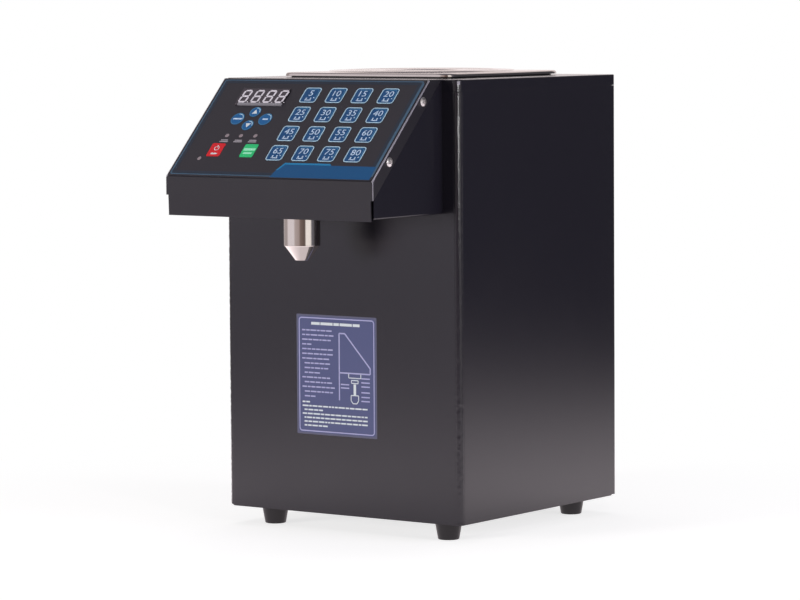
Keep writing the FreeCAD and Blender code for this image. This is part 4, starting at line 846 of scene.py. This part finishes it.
def eased(corners, radius, steps=5, guard=0.6):
    """Each corner gives way to an arc tangent to both sides: it starts r tan(turn / 2) before the
    corner and turns about a centre r to the side. A guard point on each side keeps the flats
    flat."""
    p, r = np.array(corners, float), np.array(radius, float)[:, None]
    u, v = unit(p - np.roll(p, 1, 0)), unit(np.roll(p, -1, 0) - p)
    turn = np.arctan2(u[:, 0] * v[:, 1] - u[:, 1] * v[:, 0], (u * v).sum(1))[:, None]
    reach = r * np.tan(np.abs(turn) / 2)
    start = p - u * reach
    arm = -np.sign(turn) * np.column_stack([-u[:, 1], u[:, 0]]) * r
    a = np.linspace(0, 1, steps) * turn
    swung = np.stack([np.cos(a) * arm[:, :1] - np.sin(a) * arm[:, 1:],
                      np.sin(a) * arm[:, :1] + np.cos(a) * arm[:, 1:]], -1)
    arc = (start - arm)[:, None, :] + swung
    before, after = (start - u * r * guard)[:, None, :], (p + v * (reach + r * guard))[:, None, :]
    return np.concatenate([before, arc, after], 1).reshape(-1, 2)


NOZZLE_Y = -126.55
# radius, height and easing of each corner: mouth, cone, shell, then back down inside
CORNERS = np.array([(3.0, 240.4, 0.3), (6.0, 240.4, 0.6), (15.6, 253.0, 0.9), (15.6, 279.3, 0.5),
                    (12.0, 279.3, 0.3), (12.0, 256.4, 0.3), (10.0, 255.0, 0.3), (3.0, 243.4, 0.3)])
profile = eased(CORNERS[:, :2], CORNERS[:, 2])
shell = moved(turned(profile), 0, NOZZLE_Y)
piece("nozzle_shell", "nozzle", [(*shell, polished)], replaced=("nozzle",),
      smooth=True)
print("nozzle rings", len(profile))

# %% [markdown]
# ## The valve's spring
#
# Inside the nozzle's holder a coil spring pushes a ball up against its seat. When syrup flows
# the ball goes down and the spring gets shorter, which a stiff mesh can't show. Here the coil is
# drawn as a round wire carried along a helix.

# %% Coil of round wire
COIL_LOW, COIL_HIGH, COIL_R, WIRE_R, TURNS = 260.23, 271.27, 3.8, 0.42, 4.5


def tube(centre, side, over, radius, columns, turned_over=False):
    """A circle stands at each centre: centre + r (cos a side + sin a over)."""
    a = full_turn(columns)[None, :, None]
    around = np.cos(a) * side[:, None] + np.sin(a) * over[:, None]
    return capped(centre[:, None] + radius * around, turned_over)


def coil(columns=12, per_turn=36):
    """Wire centre = (R cos t, R sin t, rise t); a circle stands on it in the plane of the radial
    direction and of the one at right angles to it and to the wire."""
    t = np.linspace(0, 2 * np.pi * TURNS, int(per_turn * TURNS) + 1)[:, None]
    rise = (COIL_HIGH - COIL_LOW - 2 * WIRE_R) / (2 * np.pi * TURNS)
    radial = np.concatenate([np.cos(t), np.sin(t), 0 * t], 1)
    along = unit(np.concatenate([-COIL_R * np.sin(t), COIL_R * np.cos(t), rise + 0 * t], 1))
    centre = COIL_R * radial + np.array([0, 0, 1]) * (COIL_LOW + WIRE_R + rise * t)
    return tube(centre, radial, np.cross(along, radial), WIRE_R, columns)


spring = piece("valve_coil", "cabinet", [(*moved(coil(), 0, NOZZLE_Y), bright_zinc)],
               replaced=("valve_spring",), smooth=True)
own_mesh(spring)
print("coil points", len(spring.data.vertices))

# %% [markdown]
# ## Screws on the head's sides
#
# Each side of the head is held by two pan-head screws. The head is a low dome with a rolled rim
# and a cross recess. The dome is a grid in polar coordinates: its height falls with the square
# of the radius, the rim is a quarter circle, and the cross is pressed in where a point lies
# close to either of two lines. The shank below is turned with the same rings.

# %% Pan-head screws
DOME_R, DOME_HIGH, DOME_FALL, RIM_R, CROSS_DEEP = 3.2, 2.6, 0.9, 0.8, 1.1
SHANK = [(4.0, 0.3), (3.8, 0.0), (2.0, 0.0), (1.9, -0.1), (1.9, -9.6), (1.5, -10.0), (0.05, -10.0)]


def pan_screw(columns=96):
    """Height = 2.6 - 0.9 (r / 3.2)^2 up to the rim, then a quarter circle of 0.8; the cross is
    1.1 deep times a smooth step of the distance to the nearer axis and of the radius."""
    a = full_turn(columns)
    r = np.concatenate([np.linspace(0.08, DOME_R, 34),
                        DOME_R + RIM_R * np.sin(np.linspace(0.2, np.pi / 2, 6))])
    t = np.clip((r - DOME_R) / RIM_R, 0, 1)
    rim = DOME_HIGH - DOME_FALL - RIM_R + RIM_R * np.sqrt(1 - t ** 2)
    high = np.where(r <= DOME_R, DOME_HIGH - DOME_FALL * (r / DOME_R) ** 2, rim)
    x, y = r[:, None] * np.cos(a), r[:, None] * np.sin(a)
    line = np.minimum(np.abs(x), np.abs(y))
    cross = (1 - smooth_step((line - 0.25) / 0.3)) * (1 - smooth_step((np.hypot(x, y) - 1.9) / 0.4))
    cap = np.stack([x, y, high[:, None] - CROSS_DEEP * cross], -1)
    return capped(np.concatenate([cap, spun(SHANK, columns)]), turned_over=True)


def pointed(part, spot, way, spin):
    """Spin a part about its z axis, turn that axis to +x or -x, so that (x, y, z) becomes
    (way z, way x, y), then shift it."""
    x, y, z = part[0].T
    x, y = x * math.cos(spin) - y * math.sin(spin), x * math.sin(spin) + y * math.cos(spin)
    return np.column_stack([way * z, way * x, y]) + np.array(spot), part[1]


# %% Two screws on each side
HEAD_SIDE, SCREW_IN = 109.0, 5.2
SCREWS = [(27.3, 0.5), (95.8, 1.1)]
screws = [pointed(pan_screw(), off_slope(along, -SCREW_IN, way * HEAD_SIDE), way, spin)
          for way in (-1, 1) for along, spin in SCREWS]
piece("head_pan_screws", "cabinet", [(*screw, bright_zinc) for screw in screws],
      replaced=("head_screws",), smooth=True)
print("screws", len(screws))

# %% [markdown]
# ## Beads of paint along the folds
#
# Powder pulls towards sharp edges and melts into a small round bead there, which shines brighter
# than the flat sheet. The beads along the head's side folds are drawn pale grey instead of black,
# a painted highlight of that shine; the beads along the lip and the cover's seam keep the black
# coat. A bead is a small circle carried along a line: at each corner of the line the circle lies
# in the plane that halves the corner, so the two runs meet without a gap.

# %% Beads
def bead(path, radius, columns=10):
    """At each point the tube's frame is built from the mean direction d of the two runs: side is d
    crossed with a line that d isn't near, and over = side x d."""
    p = np.array(path, float)
    runs = unit(np.diff(p, axis=0))
    mean = unit(np.vstack([runs[:1], runs[:-1] + runs[1:], runs[-1:]]))
    side = unit(np.cross(mean, [1.0, 0.02, 0.03] if abs(mean[0, 0]) < 0.9 else [0.02, 0.03, 1.0]))
    return tube(p, side, np.cross(side, mean), radius, columns, turned_over=True)


# pale grey for the black coat's beads is a painted highlight, used on the head's side folds and on
# the cover's front corners
painted_highlight_bead = finish("powder_coat_painted_highlight_bead", "#a29ea8", 0.30, 0.8, 0.02, 20)

# %% Along the head's folds and the cover's seam
FACE_LONG = 82.0 / SLOPE
LIP_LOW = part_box("head_cover")[0][2] / MM
beads = []
# the side folds take the pale bead colour: a painted highlight along each fold
for x in (0.5 - HEAD_SIDE, HEAD_SIDE - 0.5):
    fold = [(x, -173.25, 295.6), (x, -173.25, 310.9), off_slope(1.0, -0.3, x),
            off_slope(FACE_LONG - 0.6, -0.3, x)]
    beads.append((*bead(fold, 0.8), painted_highlight_bead))
lip = [(x, -173.0, LIP_LOW + 0.35) for x in np.linspace(-107, 107, 30)]
beads.append((*bead(lip, 0.4), powder_coat))
piece("head_fold_beads", "cabinet", beads, smooth=True)
seam = [bead([(x, y, 383.4) for y in np.linspace(-65, 165, 40)], 0.22) for x in (-124.75, 124.75)]
piece("cover_seam_beads", "cabinet", [(*part, powder_coat) for part in seam],
      smooth=True)
print("beads", len(beads) + len(seam))

# %% [markdown]
# ## Grain on the front corners
#
# On a tight bend the orange peel of the coat shows as a row of bright dots, since each tiny hill
# mirrors the lamp on its own. A bump in the material is too soft for that, so a thin skin of real
# hills lies on each front corner: a grid along the bend, with every point lifted by a small
# random amount. The numbers come from a seeded generator, so they are the same on each run. Above
# it, on the bend of the top cover, a short smooth strip in the pale bead colour is a painted
# highlight: the bright dash where that bend mirrors the lamp.

# %% Corner skins
CORNER_X, CORNER_Y, CORNER_R = 118.5, -66.05, 6.5


def corner_skin(way, low, high, lift, spread=(12, 78), columns=8, pitch=1.3):
    """Angle across and height along the bend: radius = R + s (0.03) + sqrt(s) (random lift), where
    s is a sine that is nothing at both sides; a second arc 0.4 mm inside closes the strip."""
    dice = np.random.default_rng(11)
    z = np.arange(low, high, pitch)
    share = np.linspace(0, 1, columns)
    a = np.radians(spread[0] + (spread[1] - spread[0]) * share)
    hills = lift * dice.random((len(z), columns)) * np.sin(np.pi * share) ** 0.5
    outer = CORNER_R + 0.03 * np.sin(np.pi * share) + hills
    radius = np.concatenate([outer, np.full((len(z), columns), CORNER_R - 0.4)], 1)
    a = np.concatenate([a, a[::-1]])
    rings = np.stack([way * (CORNER_X + radius * np.sin(a)), CORNER_Y - radius * np.cos(a),
                      np.repeat(z[:, None], 2 * columns, 1)], -1)
    return capped(rings, turned_over=way < 0)


# each corner gets real hills in the black coat, and on the cover's bend a strip in the pale bead
# colour, a painted highlight
skins = []
for way in (-1, 1):
    skins += [(*corner_skin(way, 17.5, 383.0, 0.36), powder_coat),
              (*corner_skin(way, 388.6, 391.8, 0.02, (36, 60), 6, 0.6), painted_highlight_bead)]
piece("front_corner_skins", "cabinet", skins, smooth=True)
print("corner skin points", sum(len(part[0]) for part in skins))

# %% [markdown]
# ## Floor
#
# The machine stands on a pale table in a plain studio. To the camera the table and the
# surroundings are white, apart from a soft shadow round the feet. A dark satin coat also shows
# the table upside down in its lower part, so to mirrors the floor glows as a bright disc, a painted
# reflection of the lit table that fades out with distance, with painted shade where it darkens a
# little under the machine itself. Floor and surroundings both answer each kind of ray in its own
# way, so one function sorts the rays for the two.

# %% Stage
FLOOR_R = 2.0
# where each ramp starts and ends, in metres, and from what to what it leads: how much of the shaded
# floor the camera sees, how the painted glow of its mirror image fades far out, and the painted
# shade that darkens it under the machine
FLOOR_RAMPS = ((0.30, 0.62, 1.0, 0.0, "SMOOTHSTEP"), (0.42, 1.7, 1.8, 0.1, "SMOOTHSTEP"),
               (0.20, 0.32, 0.9, 1.8, "LINEAR"))


def by_ray(tree, seen, mirrored, other):
    """Camera and transmission rays meet `seen`, glossy rays `mirrored` and all the rest `other`."""
    rays = add(tree, "LightPath").outputs
    hidden = add(tree, "MixShader", {"Fac": rays["Is Glossy Ray"], 1: other, 2: mirrored})
    direct = add(tree, "Math", {0: rays["Is Camera Ray"], 1: rays["Is Transmission Ray"]},
                 operation="MAXIMUM")
    return add(tree, "MixShader", {"Fac": direct, 1: hidden, 2: seen}).outputs[0]


def stage_floor(columns=64):
    """A disc just under the feet. To the camera it is white far out and takes the shadow near the
    object; to reflections it glows as a painted reflection of the lit table, with the smaller of
    two ramps over the distance, one of them painted shade under the machine."""
    rim = np.column_stack([circle(FLOOR_R, columns), np.full(columns, -0.0002)])
    mesh = bpy.data.meshes.new("floor")
    mesh.from_pydata(rim.tolist(), [], [list(range(columns))])
    mat = bpy.data.materials.new("studio_floor_white")
    mat.use_nodes = True
    tree = mat.node_tree
    shader = tree.nodes["Principled BSDF"]
    for socket, value in (("Base Color", linear("#c4c2c0")), ("Roughness", 0.9),
                          ("Specular IOR Level", 0.0)):
        shader.inputs[socket].default_value = value
    far = add(tree, "VectorMath", {0: add(tree, "TexCoord").outputs["Object"]},
              operation="LENGTH").outputs["Value"]
    near, fade, under = [
        add(tree, "MapRange", {"Value": far, "From Min": start, "From Max": end, "To Min": first,
                               "To Max": last}, interpolation_type=kind)
        for start, end, first, last, kind in FLOOR_RAMPS]
    white, glow = [add(tree, "Emission", {"Color": WHITE, "Strength": s}) for s in (1.0, 0.74)]
    soft = add(tree, "AddShader", {0: shader, 1: glow})
    seen = add(tree, "MixShader", {"Fac": near, 1: white, 2: soft})
    # the mirrored glow is a painted reflection of the lit table; the under ramp is painted shade
    # under the machine
    least = add(tree, "Math", {0: fade, 1: under}, operation="MINIMUM")
    mirrored = add(tree, "Emission", {"Color": linear("#fbf0f4"), "Strength": least})
    tree.links.new(by_ray(tree, seen, mirrored, shader),
                   tree.nodes["Material Output"].inputs["Surface"])
    mesh.materials.append(mat)
    obj = new_object("floor", mesh)
    return obj


print("floor", stage_floor().dimensions)

# %% [markdown]
# ## What the metal mirrors
#
# A studio is never even: a window side, a wall, a dark doorway. Shiny metal shows all of it,
# and a plain grey world would make the nozzle look like plastic. So reflections look up their
# light from the compass direction, through a colour ramp: bright in front to the left and
# behind, dim and brownish where the viewer stands, a bright screen on the right, and beyond it a
# dark gap, which is what the machine's right side mirrors.

# %% World by compass direction
MIRRORED = [(-180, 1.00, "#fff6f6"), (-150, 1.08, "#fff4f4"), (-128, 1.08, "#fff4f4"),
            (-112, 0.50, "#fff4f4"), (-72, 0.50, "#fff2f2"), (-60, 0.97, "#fbf4f9"),
            (-16, 0.97, "#fbf4f9"), (-8, 0.60, "#fff0ee"), (18, 0.50, "#ffeae6"),
            (26, 0.26, "#ffe0d6"), (56, 0.14, "#ffdccf"), (62, 1.20, "#fffaf6"),
            (92, 1.20, "#fffaf6"), (100, 0.22, "#f4f0ff"), (126, 0.12, "#f0f0ff"),
            (150, 0.08, "#f0f0ff"), (158, 0.08, "#f0f0ff"), (170, 1.00, "#fff6f6")]


def studio_world():
    """Azimuth = atan2(x, -y), from -180 to 180 degrees, laid on a ramp from 0 to 1; between 43 and
    55 degrees of height it gives way to an even dim ceiling."""
    world = bpy.data.worlds.new("studio")
    bpy.context.scene.world = world
    world.use_nodes = True
    tree = world.node_tree
    way = add(tree, "SeparateXYZ", {0: add(tree, "TexCoord").outputs["Generated"]}).outputs
    back = add(tree, "Math", {0: way["Y"], 1: -1.0}, operation="MULTIPLY")
    azimuth = add(tree, "Math", {0: way["X"], 1: back}, operation="ARCTAN2")
    share = add(tree, "MapRange", {"Value": azimuth, "From Min": -math.pi, "From Max": math.pi})
    ramp = add(tree, "ValToRGB", {"Fac": share})
    stops = ramp.color_ramp.elements
    stops.remove(stops[1])
    for degrees, strength, colour in MIRRORED:
        stop = stops.new(degrees / 360 + 0.5) if degrees > -180 else stops[0]
        stop.color = (*[strength * c for c in linear(colour)[:3]], 1.0)
    height = add(tree, "MapRange", {"Value": way["Z"], "From Min": 0.68, "From Max": 0.82})
    room = add(tree, "Mix", {"Factor": height, 6: ramp, 7: (0.20, 0.19, 0.22, 1)},
               data_type="RGBA")
    seen, mirrored, other = [
        add(tree, "Background", {"Color": colour, "Strength": strength})
        for colour, strength in ((WHITE, 1.0), (room.outputs[2], 1.0), (linear("#f6f4ff"), 0.20))]
    tree.links.new(by_ray(tree, seen, mirrored, other),
                   tree.nodes["World Output"].inputs["Surface"])


studio_world()
print("stops on the ramp", len(MIRRORED))

# %% [markdown]
# ## Lamps
#
# The main lamp is a soft box about half a metre wide, two metres away at about the height of the
# nozzle and to the left, so the nozzle throws a short soft shadow on the panel to its right.
# A large one on the right lifts the dark side a little, and one above lights the lid. These
# three are not seen in reflections, because the world already has what the coat mirrors. Two
# small lamps near the front right corner are, and they pick out the grain along it.

# %% Lamps
def lamp(name, place, aim, size, watts, colour="#ffffff", mirrored=False):
    """A square soft box at `place`, facing `aim`: its -Z axis is turned to point there."""
    light = bpy.data.lights.new(name, "AREA")
    light.shape, light.size, light.energy = "SQUARE", size, watts
    light.color = linear(colour)[:3]
    obj = new_object(name, light)
    obj.location = place
    obj.rotation_euler = (Vector(aim) - Vector(place)).to_track_quat("-Z", "Y").to_euler()
    obj.visible_glossy = mirrored


lamp("key", (-0.87, -1.92, 0.33), (0, 0, 0.22), 0.45, 27, "#fffcfa")
lamp("corner", (0.54, -0.36, 0.342), (0.125, -0.07, 0.35), 0.07, 0.5, mirrored=True)
lamp("glint", (0.53, -0.36, 0.363), (0.125, -0.07, 0.375), 0.03, 0.1, mirrored=True)
lamp("flank", (2.2, 0.35, 0.6), (0.12, 0.05, 0.2), 1.0, 20, "#f4f2ff")
lamp("top", (-0.3, 0.2, 2.3), (0, 0, 0.3), 1.2, 9)
